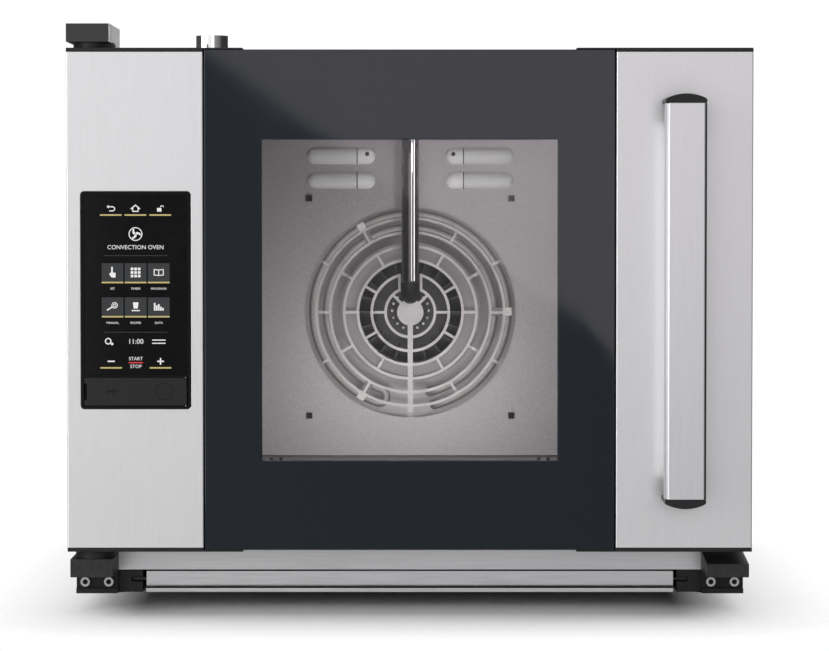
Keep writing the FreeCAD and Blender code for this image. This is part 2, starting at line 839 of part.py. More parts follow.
def make_guard():
    """Rear guard: a panel with ring slots held by staggered bars, pressed louvres and a gap for the tube."""
    body = new_body("guard_panel")
    outline = new_sketch(body, "guard_outline", "XZ", "guard_back", "fan_axis")
    rectangle(outline, both_sides("cavity_half - guard_side_gap"),
              ("cavity_low + guard_end_gap - fan_axis", "cavity_top - guard_end_gap - fan_axis"))
    circle(outline, "0", "0", "guard_hole_radius")
    inner_edges = [f"ring_first + {index} * ring_pitch" for index in range(GUARD_RINGS)]
    for edge in inner_edges:
        circle(outline, "0", "0", edge)
        circle(outline, "0", "0", edge + " + ring_width")
    circle(outline, "0", "0", "guard_hub_radius")
    for across in ("-fixing_spread / 2", "fixing_spread / 2"):
        for up in ("fixing_high", "fixing_low"):
            circle(outline, across, f"{up} - fan_axis", "fixing_stud_radius + fixed_fit")
    pad(body, outline, "guard_thick")
    pieces = [body]
    starts = ["guard_hub_radius"] + [edge + " + ring_width" for edge in inner_edges]
    stops = inner_edges + ["guard_hole_radius"]
    for slot, angles in GUARD_BARS.items():
        for angle in angles:
            width = "spine_width" if angle in SPINE_ANGLES else "bar_width"
            pieces.append(spoke(f"guard_bar_{slot}_{angle}", angle, f"{starts[slot]} - ring_width / 2",
                                f"{stops[slot]} + ring_width / 2", width, "guard_front", "guard_back"))
    split = "louvre_inner + louvre_end"
    for row in range(LOUVRE_ROWS):
        up = f"louvre_height - {row} * louvre_pitch"
        for side, sign in (("left", -1), ("right", 1)):
            for part, edges in (("small", ("louvre_inner", split)),
                                ("long", (f"{split} + louvre_split", "louvre_outer"))):
                low, high = sorted((f"{sign} * ({edge})" for edge in edges), key=measure)
                pieces.append(capsule(f"louvre_{row}_{side}_{part}", low, high, up, "louvre_radius",
                                      "guard_front + louvre_sink"))
    gap = "tube_radius + notch_gap"
    rise = ("fan_axis + ring_first - ring_width", "fan_axis + ring_first + ring_pitch")
    for side, sign in (("left", -1), ("right", 1)):
        edges = sorted((f"{sign} * ({gap})", f"{sign} * ({gap} + bar_width)"), key=measure)
        pieces.append(block("notch_edge_" + side, edges, ("guard_front", "guard_back"), rise))
    panel = join("guard_joined", *pieces)
    through = ("guard_front - guard_thick", "guard_back + guard_thick")
    bottom = rod("notch_bottom", "y", ("0", "tube_low"), gap, *through)
    opening = block("notch_opening", both_sides(gap), through, ("tube_low", f"fan_axis + {starts[2]}"))
    behind = block("guard_behind", both_sides("cavity_half"),
                   ("guard_back", "guard_back + 2 * louvre_radius"), ("cavity_low", "cavity_top"))
    finish(cut("guard_cut", panel, bottom, opening, behind), "fan_guard")

    posts = []
    for across in ("-fixing_spread / 2", "fixing_spread / 2"):
        for up in ("fixing_high", "fixing_low"):
            mark = len(posts)
            half = "fixing_head / 2"
            head = block(f"fixing_head_{mark}", (f"{across} - {half}", f"{across} + {half}"),
                         ("guard_front - fixing_head_rise", "guard_front"),
                         (f"{up} - {half}", f"{up} + {half}"))
            spot = (across, up)
            stud = rod(f"fixing_stud_{mark}", "y", spot, "fixing_stud_radius", "guard_front", "guard_back")
            post = rod(f"fixing_post_{mark}", "y", spot, "fixing_post_radius", "guard_back", "liner_end")
            posts.append(join(f"fixing_{mark}", head, stud, post))
    finish(group("fixings", *posts), "guard_posts")


def make_fan():
    """Radial fan wheel on the motor's shaft, with the nut that holds it and the seal at the wall."""
    body = new_body("wheel")
    disc = new_sketch(body, "wheel_disc", "XZ", "fan_back", "fan_axis")
    circle(disc, "0", "0", "fan_radius")
    circle(disc, "0", "0", "shaft_radius + fixed_fit")
    pad(body, disc, "fan_plate")
    hub = new_sketch(body, "wheel_hub", "XZ", "fan_back", "fan_axis")
    circle(hub, "0", "0", "hub_radius")
    circle(hub, "0", "0", "shaft_radius + fixed_fit")
    pad(body, hub, "hub_length")
    ring = new_sketch(body, "wheel_ring", "XZ", "fan_front + fan_plate", "fan_axis")
    circle(ring, "0", "0", "fan_radius")
    circle(ring, "0", "0", "fan_eye_radius")
    pad(body, ring, "fan_plate")
    blade = new_sketch(body, "wheel_blade", "XZ", "fan_back - fan_plate", "fan_axis")
    rectangle(blade, ("blade_root", "fan_radius - blade_thick"), ("-blade_thick / 2", "blade_thick / 2"))
    raised = pad(body, blade, "fan_depth - 2 * fan_plate")
    polar(body, [raised], blade, FAN_BLADES)
    finish(body, "fan_wheel")

    axis = ("0", "fan_axis")
    nut_front = "fan_back - hub_length - nut_length"
    finish(rod("shaft", "y", axis, "shaft_radius", nut_front, "motor_back - motor_end"), "motor_shaft")
    nut = doc.addObject("Part::Prism", "nut")
    nut.Polygon = HEX_SIDES
    nut.Placement = Placement(Vector(), AXIS_TURN["y"])
    nut.setExpression("Circumradius", formula("nut_radius"))
    nut.setExpression("Height", formula("nut_length"))
    nut.setExpression("Placement.Base.y", formula(nut_front))
    nut.setExpression("Placement.Base.z", formula("fan_axis"))
    bore = rod("nut_bore", "y", axis, "shaft_radius + fixed_fit", f"{nut_front} - nut_length", "fan_back")
    finish(cut("nut_cut", nut, bore), "fan_nut")

    collar = rod("seal_collar", "y", axis, "seal_radius", "liner_end", "liner_back")
    flange = rod("seal_flange_disc", "y", axis, "seal_flange_radius", "liner_back",
                 "liner_back + seal_flange")
    hole = rod("seal_bore", "y", axis, "shaft_radius + running_fit", "fan_back", "wool_back")
    finish(cut("seal_cut", join("seal", collar, flange), hole), "shaft_seal")


def make_motor():
    """Fan motor with its cooling fins, on a plate behind the insulation."""
    axis = ("0", "fan_axis")
    half = "motor_plate_width / 2"
    hole = lambda sketch: circle(sketch, "0", "fan_axis", "seal_flange_radius")
    plate = front_plate("motor_support", both_sides(half), (f"fan_axis - {half}", f"fan_axis + {half}"),
                        "motor_front", "motor_plate_thick", hole)
    finish(plate, "motor_plate")
    body = new_body("motor")
    shell = new_sketch(body, "motor_shell", "XZ", "motor_back", "fan_axis")
    circle(shell, "0", "0", "motor_radius")
    pad(body, shell, "motor_length")
    fin = new_sketch(body, "motor_fin", "XZ", "motor_back - motor_end", "fan_axis")
    rectangle(fin, ("motor_radius - motor_fin_rise", "motor_radius + motor_fin_rise"),
              ("-motor_fin_width / 2", "motor_fin_width / 2"))
    raised = pad(body, fin, "motor_length - 2 * motor_end")
    polar(body, [raised], fin, MOTOR_FINS)
    bore = rod("motor_bore", "y", axis, "shaft_radius + running_fit", "motor_front - motor_end",
               "motor_back - motor_end + moving_gap")
    finish(cut("motor_cut", body, bore), "fan_motor")


def element_tail_places():
    """Where the heating element's two ends go back through the wall."""
    reach = "element_span / 2"
    spots = []
    for radius in ("element_outer", "element_inner"):
        spots.append((f"{radius} * sin({reach}) + element_bend * cos({reach})",
                      f"fan_axis + {radius} * cos({reach}) - element_bend * sin({reach})"))
    return spots


def element_path():
    """The heating element's middle line: in from the wall, round the fan, and back at a smaller radius."""
    half = math.radians(measure("element_span / 2"))
    plane, axis, bend = (measure(text) for text in ("element_plane", "fan_axis", "element_bend"))
    wall = measure("wool_back + element_tail")

    def at(radius, angle, depth=0.0, ahead=0.0):
        across = radius * math.sin(angle) + ahead * math.cos(angle)
        up = radius * math.cos(angle) - ahead * math.sin(angle)
        return Vector(across, plane + depth, axis + up)

    def tail(radius):
        corner = bend * (1 - math.sqrt(0.5))
        start, knee = at(radius, half, wall - plane, bend), at(radius, half, bend, bend)
        middle = at(radius, half, corner, bend - corner)
        return [Part.LineSegment(start, knee), Part.Arc(knee, middle, at(radius, half))]

    def round_fan(radius, first, last):
        return Part.Arc(at(radius, first), at(radius, (first + last) / 2), at(radius, last))

    outer, inner = measure("element_outer"), measure("element_inner")
    middle = (outer + inner) / 2
    turn = at(middle, -half, 0.0, -(outer - inner) / 2)
    pieces = tail(outer)
    pieces.append(round_fan(outer, half, -half))
    pieces.append(Part.Arc(at(outer, -half), turn, at(inner, -half)))
    pieces.append(round_fan(inner, -half, half))
    pieces.extend(reversed(tail(inner)))
    return Part.Wire(Part.__sortEdges__([piece.toShape() for piece in pieces]))


def make_element():
    """Bent tube element round the fan, held by three straps on posts."""
    path = element_path()
    start = path.OrderedVertexes[0].Point
    section = Part.Wire(Part.Circle(start, Vector(0, 1, 0), measure("element_radius")).toShape())
    element = doc.addObject("Part::Feature", "element")
    element.Shape = path.makePipeShell([section], True, False)
    finish(element, "heating_element")
    clips = []
    for angle in STRAP_ANGLES:
        strap = spoke(f"strap_{angle}", angle, "element_middle - strap_length / 2",
                      "element_middle + strap_length / 2", "strap_width", "strap_back - strap_thick",
                      "strap_back")
        spot = (f"element_middle * cos({angle})", f"fan_axis + element_middle * sin({angle})")
        post = rod(f"strap_post_{angle}", "y", spot, "strap_post_radius", "strap_back", "liner_end")
        clips.append(join(f"clip_{angle}", strap, post))
    finish(group("clips", *clips), "element_clips")


# Water tube and vent pipe

def make_water_tube():
    """Tube from the ceiling that bends back through the guard towards the fan's hub."""
    body = new_body("tube")
    path = new_sketch(body, "tube_path", "YZ", "0")
    top, bend = measure("liner_top + tube_top"), measure("tube_bend")
    place, low, end = measure("tube_place"), measure("tube_low"), measure("guard_front + tube_end")
    drop = path.addGeometry(Part.LineSegment(Vector(place, top, 0), Vector(place, low + bend, 0)), False)
    centre = Vector(place + bend, low + bend, 0)
    curve = Part.ArcOfCircle(Part.Circle(centre, Vector(0, 0, 1), bend), math.pi, 1.5 * math.pi)
    elbow = path.addGeometry(curve, False)
    run = path.addGeometry(Part.LineSegment(Vector(place + bend, low, 0), Vector(end, low, 0)), False)
    path.addConstraint(Sketcher.Constraint("Tangent", drop, 2, elbow, 1))
    path.addConstraint(Sketcher.Constraint("Tangent", elbow, 2, run, 1))
    path.addConstraint(Sketcher.Constraint("Vertical", drop))
    path.addConstraint(Sketcher.Constraint("Horizontal", run))
    for constraint, text in (
            (("DistanceX", -1, 1, drop, 1), "tube_place"),
            (("DistanceY", -1, 1, drop, 1), "liner_top + tube_top"),
            (("DistanceX", -1, 1, run, 2), "guard_front + tube_end"),
            (("DistanceY", -1, 1, run, 2), "tube_low"),
            (("Radius", elbow), "tube_bend")):
        held = path.addConstraint(Sketcher.Constraint(*constraint, measure(text)))
        path.setExpression(f"Constraints[{held}]", formula(text))
    section = new_sketch(body, "tube_section", "XY", "liner_top + tube_top")
    circle(section, "0", "tube_place", "tube_radius")
    circle(section, "0", "tube_place", "tube_radius - tube_wall")
    sweep = body.newObject("PartDesign::AdditivePipe", "tube_sweep")
    sweep.Profile = section
    sweep.Spine = path
    finish(body, "water_tube")
    nut = doc.addObject("Part::Prism", "tube_nut")
    nut.Polygon = HEX_SIDES
    nut.setExpression("Circumradius", formula("tube_nut_radius"))
    nut.setExpression("Height", formula("tube_nut_height"))
    nut.setExpression("Placement.Base.y", formula("tube_place"))
    nut.setExpression("Placement.Base.z", formula("liner_top"))
    bore = rod("tube_nut_bore", "z", ("0", "tube_place"), "tube_radius + fixed_fit", "cavity_top",
               "liner_top + 2 * tube_nut_height")
    finish(cut("tube_nut_cut", nut, bore), "water_tube_nut")


def make_vent():
    """Vent pipe from the cavity through the top cover, with a wider spigot above its flange."""
    spot = ("-vent_side", "vent_place")
    neck = rod("vent_neck_tube", "z", spot, "vent_neck_radius", "cavity_top", "body_top + flange_height")
    spigot = rod("vent_spigot", "z", spot, "vent_radius", "body_top + flange_height", "body_top + vent_rise")
    bore = rod("vent_bore", "z", spot, "vent_neck_radius - vent_wall", "cavity_low",
               "body_top + 2 * vent_rise")
    finish(cut("vent_cut", join("vent_tube", neck, spigot), bore), "vent_pipe")
    disc = rod("flange_disc", "z", spot, "flange_radius", "body_top", "body_top + flange_height")
    hole = rod("flange_hole", "z", spot, "vent_neck_radius + fixed_fit", "cavity_top", "body_top + vent_rise")
    finish(cut("flange_cut", disc, hole), "vent_flange")


# Hinges

def bracket_screw_places():
    """Sideways places of the screws in both lower brackets."""
    middle = "bracket_outer - block_width / 2"
    return [f"{sign}({middle} {shift} screw_pitch / 2)" for sign in ("-", "") for shift in ("-", "+")]


def socket_screw(name, axis, middle, seat, outward, length):
    """A socket head screw; seat is the face under its head and outward the sign of its head's side."""
    head = f"{seat} {outward} screw_head_height"
    floor = f"{head} {'-' if outward == '+' else '+'} screw_socket_depth"
    tip = f"{seat} {'-' if outward == '+' else '+'} ({length})"
    cap = rod(name + "_cap", axis, middle, "screw_head_radius", *sorted((seat, head), key=measure))
    shank = rod(name + "_shank", axis, middle, "screw_radius", *sorted((seat, tip), key=measure))
    beyond = f"{head} {outward} screw_socket_depth"
    socket = rod(name + "_socket", axis, middle, "screw_socket_radius", *sorted((floor, beyond), key=measure))
    return cut(name, join(name + "_solid", cap, shank), socket)


def profile_bracket(name, outer, inner, *points):
    """A bracket of one side profile across its width."""
    body = new_body(name)
    profile = new_sketch(body, name + "_profile", "YZ", outer)
    polygon(profile, *points)
    pad(body, profile, f"({inner}) - ({outer})")
    return body


def make_hinges():
    """Upper arm, lower block and the spare block on the other side, with pins and screws."""
    arm = profile_bracket("arm", "-door_half", "arm_width - door_half",
                          ("door_front + arm_setback", "arm_low"), ("body_front", "arm_low"),
                          ("body_front", "body_top"), ("body_front + arm_seat", "body_top"),
                          ("body_front + arm_seat", "arm_top"), ("door_front + arm_setback", "arm_top"))
    pin_hole = rod("arm_pin_hole", "z", ("hinge_x", "hinge_y"), "pin_radius + fixed_fit", "door_top",
                   "arm_top - pin_cover")
    first = "body_front + arm_screw_first"
    seats = [("arm_width / 2 - door_half", place) for place in (first, f"{first} + arm_screw_pitch")]
    drills = []
    for index, seat in enumerate(seats):
        drills.append(rod(f"arm_drill_{index}", "z", seat, "screw_radius + fixed_fit", "door_low", "arm_top"))
        drills.append(rod(f"arm_sink_{index}", "z", seat, "screw_head_radius + set_gap", "screw_seat",
                          "arm_top + arm_height"))
    finish(cut("arm_cut", arm, pin_hole, *drills), "upper_hinge_arm")

    lower_edge = [("body_front", "base_low"), ("body_front - bracket_thick - bracket_lip", "base_low"),
                  ("body_front - bracket_thick - bracket_lip", "base_low + bracket_lip_height"),
                  ("bracket_front", "base_low + bracket_lip_height"), ("bracket_front", "body_low")]
    inner = "bracket_outer - block_width"
    drilled = []
    for side, edges, ridge in (
            ("left", ("-bracket_outer", f"-({inner})"), ("block_top", "block_top")),
            ("right", (inner, "bracket_outer"), ("body_low + ramp_front", "body_low + ramp_back"))):
        bracket = profile_bracket(side + "_bracket", *edges, *lower_edge, ("block_front", "body_low"),
                                  ("block_front", ridge[0]), ("body_front", ridge[1]))
        drilled.append(bracket)
    places = bracket_screw_places()
    holes = [rod(f"bracket_hole_{index}", "y", (across, "base_low + screw_lift"), "screw_radius + fixed_fit",
                 "door_front", "body_front + rail_wall") for index, across in enumerate(places)]
    socket = rod("block_pin_hole", "z", ("hinge_x", "hinge_y"), "pin_radius + fixed_fit",
                 "body_low + pin_cover", "door_low")
    finish(cut("left_block_cut", drilled[0], socket, *holes[:2]), "lower_hinge_block")
    finish(cut("right_block_cut", drilled[1], *holes[2:]), "reverse_hinge_block")

    screws = [socket_screw(f"bracket_screw_{index}", "y", (across, "base_low + screw_lift"), "bracket_front",
                           "-", "bracket_thick + rail_wall") for index, across in enumerate(places)]
    screws += [socket_screw(f"arm_screw_{index}", "z", seat, "screw_seat", "+", "screw_seat - body_top")
               for index, seat in enumerate(seats)]
    finish(group("bracket_screws", *screws), "hinge_screws")

    axis = ("hinge_x", "hinge_y")
    upper = rod("upper_pin", "z", axis, "pin_radius", "door_top - pin_engage", "arm_top - pin_cover")
    lower = rod("lower_pin", "z", axis, "pin_radius", "body_low + pin_cover", "door_low + pin_engage")
    finish(group("pins", upper, lower), "hinge_pins")
    bushes = []
    for name, seat, flange, inward in (
            ("upper", "door_top", "arm_low - moving_gap", "-"),
            ("lower", "door_low", "block_top + moving_gap", "+")):
        sleeve = f"{seat} {inward} (pin_engage + sleeve_wall)"
        end = f"{seat} {inward} (pin_engage + moving_gap)"
        collar = rod(name + "_collar", "z", axis, "bush_radius", *sorted((seat, flange), key=measure))
        barrel = rod(name + "_barrel", "z", axis, "sleeve_radius", *sorted((seat, sleeve), key=measure))
        bore = rod(name + "_bore", "z", axis, "pin_radius + running_fit", *sorted((flange, end), key=measure))
        bushes.append(cut(name + "_bush", join(name + "_bush_solid", collar, barrel), bore))
    finish(group("bushes", *bushes), "hinge_bushes")


# Door

def ring_pan(name, across, up, front, depth):
    """A shallow block facing the front, with the window through it."""
    body = new_body(name)
    outline = new_sketch(body, name + "_outline", "XZ", f"{front} + ({depth})")
    rectangle(outline, across, up)
    rectangle(outline, both_sides("window_half"), ("window_low", "window_top"))
    pad(body, outline, depth)
    return body


def hollow_ring(body, at, depth, across, up, wall, backwards):
    """Hollow a ring pan between its rim and its window edge."""
    hollow = new_sketch(body, body.Name + "_hollow", "XZ", at)
    (left, right), (low, high) = across, up
    rectangle(hollow, (f"{left} + {wall}", f"{right} - {wall}"), (f"{low} + {wall}", f"{high} - {wall}"))
    rectangle(hollow, both_sides(f"window_half + {wall}"), (f"window_low - {wall}", f"window_top + {wall}"))
    pocket(body, hollow, depth, backwards)


def make_door_shells():
    """Inner pan, glass carrier, both panes, their clips and the lamps beside the window."""
    across = both_sides("door_half - pan_inset")
    up = ("glass_low", "glass_top")
    pan = ring_pan("pan", across, up, "pan_front", "door_thickness - fascia_depth")
    hollow_ring(pan, "pan_front", "door_thickness - fascia_depth - pan_wall", across, up, "pan_wall", False)
    finish(pan, "door_pan")
    glass = both_sides("glass_half")
    carrier_depth = "fascia_depth - glass_thick"
    carrier = ring_pan("carrier", glass, up, "door_front + glass_thick", carrier_depth)
    hollow_ring(carrier, "pan_front", f"{carrier_depth} - fascia_wall", glass, up, "fascia_wall", True)
    finish(carrier, "glass_frame")
    finish(block("pane", glass, ("door_front", "door_front + glass_thick"), up), "outer_glass")
    inner = ("door_back - inner_glass_inset - inner_glass_thick", "door_back - inner_glass_inset")
    finish(block("inner_pane", both_sides("window_half - set_gap"), inner,
                 ("window_low + set_gap", "window_top - set_gap")), "inner_glass")

    lamps = []
    middle = "(window_low + window_top) / 2"
    for side, sign in (("left", "-"), ("right", "")):
        faces = sorted((f"{sign}window_half", f"{sign}(window_half - lamp_width)"), key=measure)
        depth = ("door_front + 2 * glass_thick", "door_front + 2 * glass_thick + lamp_depth")
        lamps.append(block(side + "_lamp", faces, depth,
                           (f"{middle} - lamp_height / 2", f"{middle} + lamp_height / 2")))
    finish(group("lamps", *lamps), "door_lamps")

    clips = []
    face = inner[0]
    for side, sign in (("left", "-"), ("right", "")):
        centre = f"{sign}(window_half - clip_inset)"
        for end, edge, rise in (("low", "window_low", "+"), ("top", "window_top", "-")):
            mark = f"{side}_{end}"
            reach = f"{edge} {rise} clip_height"
            foot = block("clip_" + mark, (f"{centre} - clip_width / 2", f"{centre} + clip_width / 2"),
                         (f"{face} - clip_depth", face), sorted((edge, reach), key=measure))
            pegs = []
            for shift in ("-", "+"):
                spot = (f"{centre} {shift} peg_pitch / 2", f"{face} - clip_depth / 2")
                tip = f"{reach} {rise} peg_rise"
                pegs.append(rod(f"peg_{mark}_{len(pegs)}", "z", spot, "peg_radius",
                                *sorted((reach, tip), key=measure)))
            clips.append(join("glass_clip_" + mark, foot, *pegs))
    finish(group("glass_clip_set", *clips), "glass_clips")


def make_fascias():
    """Folded fascias beside the glass and the end caps that close them."""
    for side, sign in (("left", "-"), ("right", "")):
        outer, inner = f"{sign}door_half", f"{sign}fascia_edge"
        outer_in, inner_in = f"{sign}(door_half - fascia_wall)", f"{sign}(fascia_edge + fascia_wall)"
        behind = "door_front + fascia_wall"
        body = new_body(side + "_fold")
        outline = new_sketch(body, side + "_fold_outline", "XY", "fascia_low")
        polygon(outline, (outer, "door_front"), (inner, "door_front"), (inner, "pan_front"),
                (inner_in, "pan_front"), (inner_in, behind), (outer_in, behind), (outer_in, "pan_front"),
                (outer, "pan_front"))
        pad(body, outline, "fascia_top - fascia_low")
        if side == "left":
            window = new_sketch(body, "touch_window", "XZ", "door_front")
            rectangle(window, ("touch_left - set_gap", "touch_right + set_gap"),
                      ("touch_low - set_gap", "touch_top + set_gap"))
            pocket(body, window, "fascia_wall")
            inside = measure("fascia_edge + fascia_wall"), measure("door_half - fascia_wall")
            round_edges(body, "touch_corner + set_gap", "y", lambda at: inside[0] < -at.x < inside[1])
        front = measure("door_front + fascia_wall / 2")
        round_edges(body, "fascia_round", "z", lambda at: at.y < front)
        finish(body, side + "_fascia")

    caps = []
    for side, sign in (("left", "-"), ("right", "")):
        for end, edge, step, rim in (("top", "door_top", "fascia_top", "glass_top"),
                                     ("bottom", "door_low", "fascia_low", "glass_low")):
            name = f"{side}_{end}_cap"
            body = new_body(name)
            outline = new_sketch(body, name + "_outline", "XZ", "pan_front")
            tip = f"{sign}(fascia_edge - cap_reach)"
            polygon(outline, (f"{sign}door_half", edge), (tip, edge), (tip, rim), (f"{sign}fascia_edge", rim),
                    (f"{sign}fascia_edge", step), (f"{sign}door_half", step))
            pad(body, outline, "fascia_depth")
            if side == "left":
                low, high = sorted((edge, step), key=measure)
                hole = rod(name + "_hole", "z", ("hinge_x", "hinge_y"), "sleeve_radius + fixed_fit",
                           f"{low} - glass_margin", f"{high} + glass_margin")
                body = cut(name + "_cut", body, hole)
            caps.append(body)
    finish(group("caps", *caps), "door_end_caps")


def make_handle():
    """Flat bar with bevelled edges between two domed end pieces that stand off the door."""
    left, right = "handle_middle - handle_width / 2", "handle_middle + handle_width / 2"
    body = new_body("bar")
    profile = new_sketch(body, "bar_profile", "XY", "handle_low")
    polygon(profile, (left, "handle_back"), (left, "handle_front + handle_bevel"),
            (f"{left} + handle_bevel", "handle_front"), (f"{right} - handle_edge", "handle_front"),
            (right, "handle_front + handle_edge"), (right, "handle_back"))
    pad(body, profile, "handle_height")
    finish(body, "handle_bar")
    ends = []
    for end, seat, sign in (("top", "handle_top", 1), ("bottom", "handle_low", -1)):
        crown = f"{seat} + {sign} * (cap_band + cap_rise)"
        depth = ("handle_front + cap_setback", "door_front")
        slab = block(end + "_dome_slab", (left, right), depth, sorted((seat, crown), key=measure))
        centre = ("handle_middle", f"{crown} - {sign} * cap_curve")
        curve = rod(end + "_dome_curve", "y", centre, "cap_curve", *depth)
        dome = overlap(end + "_dome", slab, curve)
        foot = f"{seat} - {sign} * post_height"
        post = block(end + "_post", ("handle_middle - post_width / 2", "handle_middle + post_width / 2"),
                     ("handle_back", "door_front"), sorted((seat, foot), key=measure))
        ends.append(join(end + "_end", dome, post))
    finish(group("handle_end_set", *ends), "handle_ends")


def make_touch_control():
    """Control housing in the left fascia, its screen and board, and the hinged service flap."""
    body = new_body("housing")
    outline = new_sketch(body, "housing_outline", "XZ", "touch_back")
    rectangle(outline, ("touch_left", "touch_right"), ("touch_low", "touch_top"))
    pad(body, outline, "touch_depth")
    round_edges(body, "touch_corner", "y", lambda at: True)
    screen = new_sketch(body, "screen_recess", "XZ", "touch_front")
    rectangle(screen, ("touch_left + screen_margin", "touch_right - screen_margin"),
              ("screen_low", "touch_top - screen_margin"))
    pocket(body, screen, "screen_thick")
    recess = new_sketch(body, "flap_recess", "XZ", "touch_front")
    rectangle(recess, ("flap_left - moving_gap", "flap_axis + flap_knuckle + 2 * moving_gap"),
              ("flap_low - moving_gap", "flap_top + moving_gap"))
    pocket(body, recess, "flap_thick + moving_gap")
    port = new_sketch(body, "port_recess", "XZ", "touch_front + flap_thick")
    middle = "(flap_low + flap_top) / 2"
    rectangle(port, ("flap_left + port_inset", "flap_left + port_inset + port_width"),
              (f"{middle} - port_height / 2", f"{middle} + port_height / 2"))
    pocket(body, port, "port_depth")
    axis = ("flap_axis", "flap_pivot")
    ends = ("flap_low - moving_gap - flap_pin_engage", "flap_top + moving_gap + flap_pin_engage")
    seat = rod("flap_pin_seat", "z", axis, "flap_pin_radius + running_fit", *ends)
    finish(cut("housing_cut", body, seat), "touch_housing")
    finish(rod("flap_pin_rod", "z", axis, "flap_pin_radius", *ends), "flap_pin")
    finish(block("screen", ("touch_left + screen_margin + set_gap", "touch_right - screen_margin - set_gap"),
                 ("touch_front", "touch_front + screen_thick"),
                 ("screen_low + set_gap", "touch_top - screen_margin - set_gap")), "touch_screen")
    finish(block("board", ("touch_left + board_margin", "touch_right - board_margin"),
                 ("touch_back", "touch_back + board_thick"),
                 ("touch_low + board_margin", "touch_top - board_margin")), "control_board")

    leaf = block("flap_leaf", ("flap_left", "flap_axis"), ("touch_front", "touch_front + flap_thick"),
                 ("flap_low", "flap_top"))
    knuckle = rod("flap_knuckle_rod", "z", axis, "flap_knuckle", "flap_low", "flap_top")
    bore = rod("flap_bore", "z", axis, "flap_pin_radius + running_fit", *ends)
    notch = block("flap_notch", ("flap_left - notch_width", "flap_left + notch_width"),
                  ("touch_front - flap_thick", "touch_front + flap_thick + flap_knuckle"),
                  (f"{middle} - notch_height / 2", f"{middle} + notch_height / 2"))
    finish(cut("flap_cut", join("flap_solid", leaf, knuckle), bore, notch), "service_flap")


# Drip tray

def make_drip_tray():
    """Shallow tray with side runners and a lipped front, between two grooved guides."""
    body = new_body("drip")
    outline = new_sketch(body, "drip_outline", "XY", "drip_low")
    ends = ("drip_face + drip_front", "drip_face + drip_depth")
    rectangle(outline, both_sides("drip_half"), ends)
    pad(body, outline, "drip_top - drip_low")
    inside = new_sketch(body, "drip_inside", "XY", "drip_top")
    rectangle(inside, both_sides("drip_half - drip_wall"),
              (f"{ends[0]} + drip_wall", f"{ends[1]} - drip_wall"))
    pocket(body, inside, "drip_top - drip_low - drip_wall")
    face = new_sketch(body, "drip_face_profile", "YZ", "-drip_half")
    lip_top = "base_low + moving_gap + drip_lip_height"
    polygon(face, (ends[0], "base_low + moving_gap"), ("drip_face - drip_lip", "base_low + moving_gap"),
            ("drip_face - drip_lip", lip_top), ("drip_face + drip_groove_depth", lip_top),
            ("drip_face + drip_groove_depth", f"{lip_top} + drip_groove"),
            ("drip_face", f"{lip_top} + drip_groove"), ("drip_face", "drip_top"), (ends[0], "drip_top"))
    pad(body, face, "2 * drip_half")
    runner = new_sketch(body, "drip_runner", "XY", "runner_low")
    for sign in ("-", ""):
        rectangle(runner, sorted((f"{sign}(drip_half - drip_wall)", f"{sign}runner_edge"), key=measure),
                  (f"{ends[0]} + drip_front", ends[1]))
    pad(body, runner, "runner_thick")
    finish(body, "drip_tray")
    guides = []
    for side, sign in (("left", "-"), ("right", "")):
        faces = sorted((f"{sign}guide_inner", f"{sign}guide_outer"), key=measure)
        rail = block(side + "_guide_rail", faces, ("body_front", "body_front + guide_length"),
                     ("base_low", "body_low"))
        reach = sorted((f"{sign}(guide_inner - guide_gap)", f"{sign}(runner_edge + moving_gap)"), key=measure)
        groove = block(side + "_guide_groove", reach,
                       ("body_front - drip_front", "body_front + 2 * guide_length"),
                       ("runner_low - moving_gap", "runner_low + runner_thick + moving_gap"))
        guides.append(cut(side + "_guide", rail, groove))
    finish(group("guides", *guides), "drip_guides")


# Rear fittings and electrics

def make_fittings():
    """Water inlet and cable gland through the rear cover, each with a rim behind the sheet."""
    for name, label, side, radius, neck, bore, rim, rim_thick, reach in (
            ("inlet", "water_inlet", "inlet_side", "inlet_radius", "inlet_neck_radius", "inlet_bore",
             "inlet_flange_radius", "inlet_flange", "rear_reach"),
            ("gland", "cable_gland", "gland_side", "gland_radius", "gland_radius", "gland_bore",
             "gland_flange_radius", "gland_flange", "gland_reach")):
        axis = (side, "inlet_height")
        stem = rod(name + "_stem", "y", axis, neck, "cover_inside - fitting_inside", "body_back")
        barrel = rod(name + "_barrel", "y", axis, radius, "body_back", f"body_back + {reach}")
        flange = rod(name + "_rim", "y", axis, rim, f"cover_inside - {rim_thick}", "cover_inside")
        hole = rod(name + "_hole", "y", axis, bore, "motor_front", f"body_back + 2 * {reach}")
        finish(cut(name + "_cut", join(name + "_solid", stem, barrel, flange), hole), label)


def make_power_board():
    """Power board with relays, on standoffs behind the insulation."""
    left, right = "power_board_side - power_board_width / 2", "power_board_side + power_board_width / 2"
    low, high = "power_low", "power_low + power_board_height"
    board_back = "power_front + board_thick"
    pieces = [block("power_sheet", (left, right), ("power_front", board_back), (low, high))]
    for across in (f"{left} + standoff_inset", f"{right} - standoff_inset"):
        for up in (f"{low} + standoff_inset", f"{high} - standoff_inset"):
            pieces.append(rod(f"standoff_{len(pieces)}", "y", (across, up), "standoff_radius", "wool_back",
                              "power_front"))
    for index in range(RELAYS):
        start = f"{left} + relay_inset + {index} * relay_pitch"
        pieces.append(block(f"relay_{index}", (start, f"{start} + relay_width"),
                            (board_back, f"{board_back} + relay_depth"),
                            (f"{low} + relay_lift", f"{low} + relay_lift + relay_height")))
    finish(join("power", *pieces), "power_board")


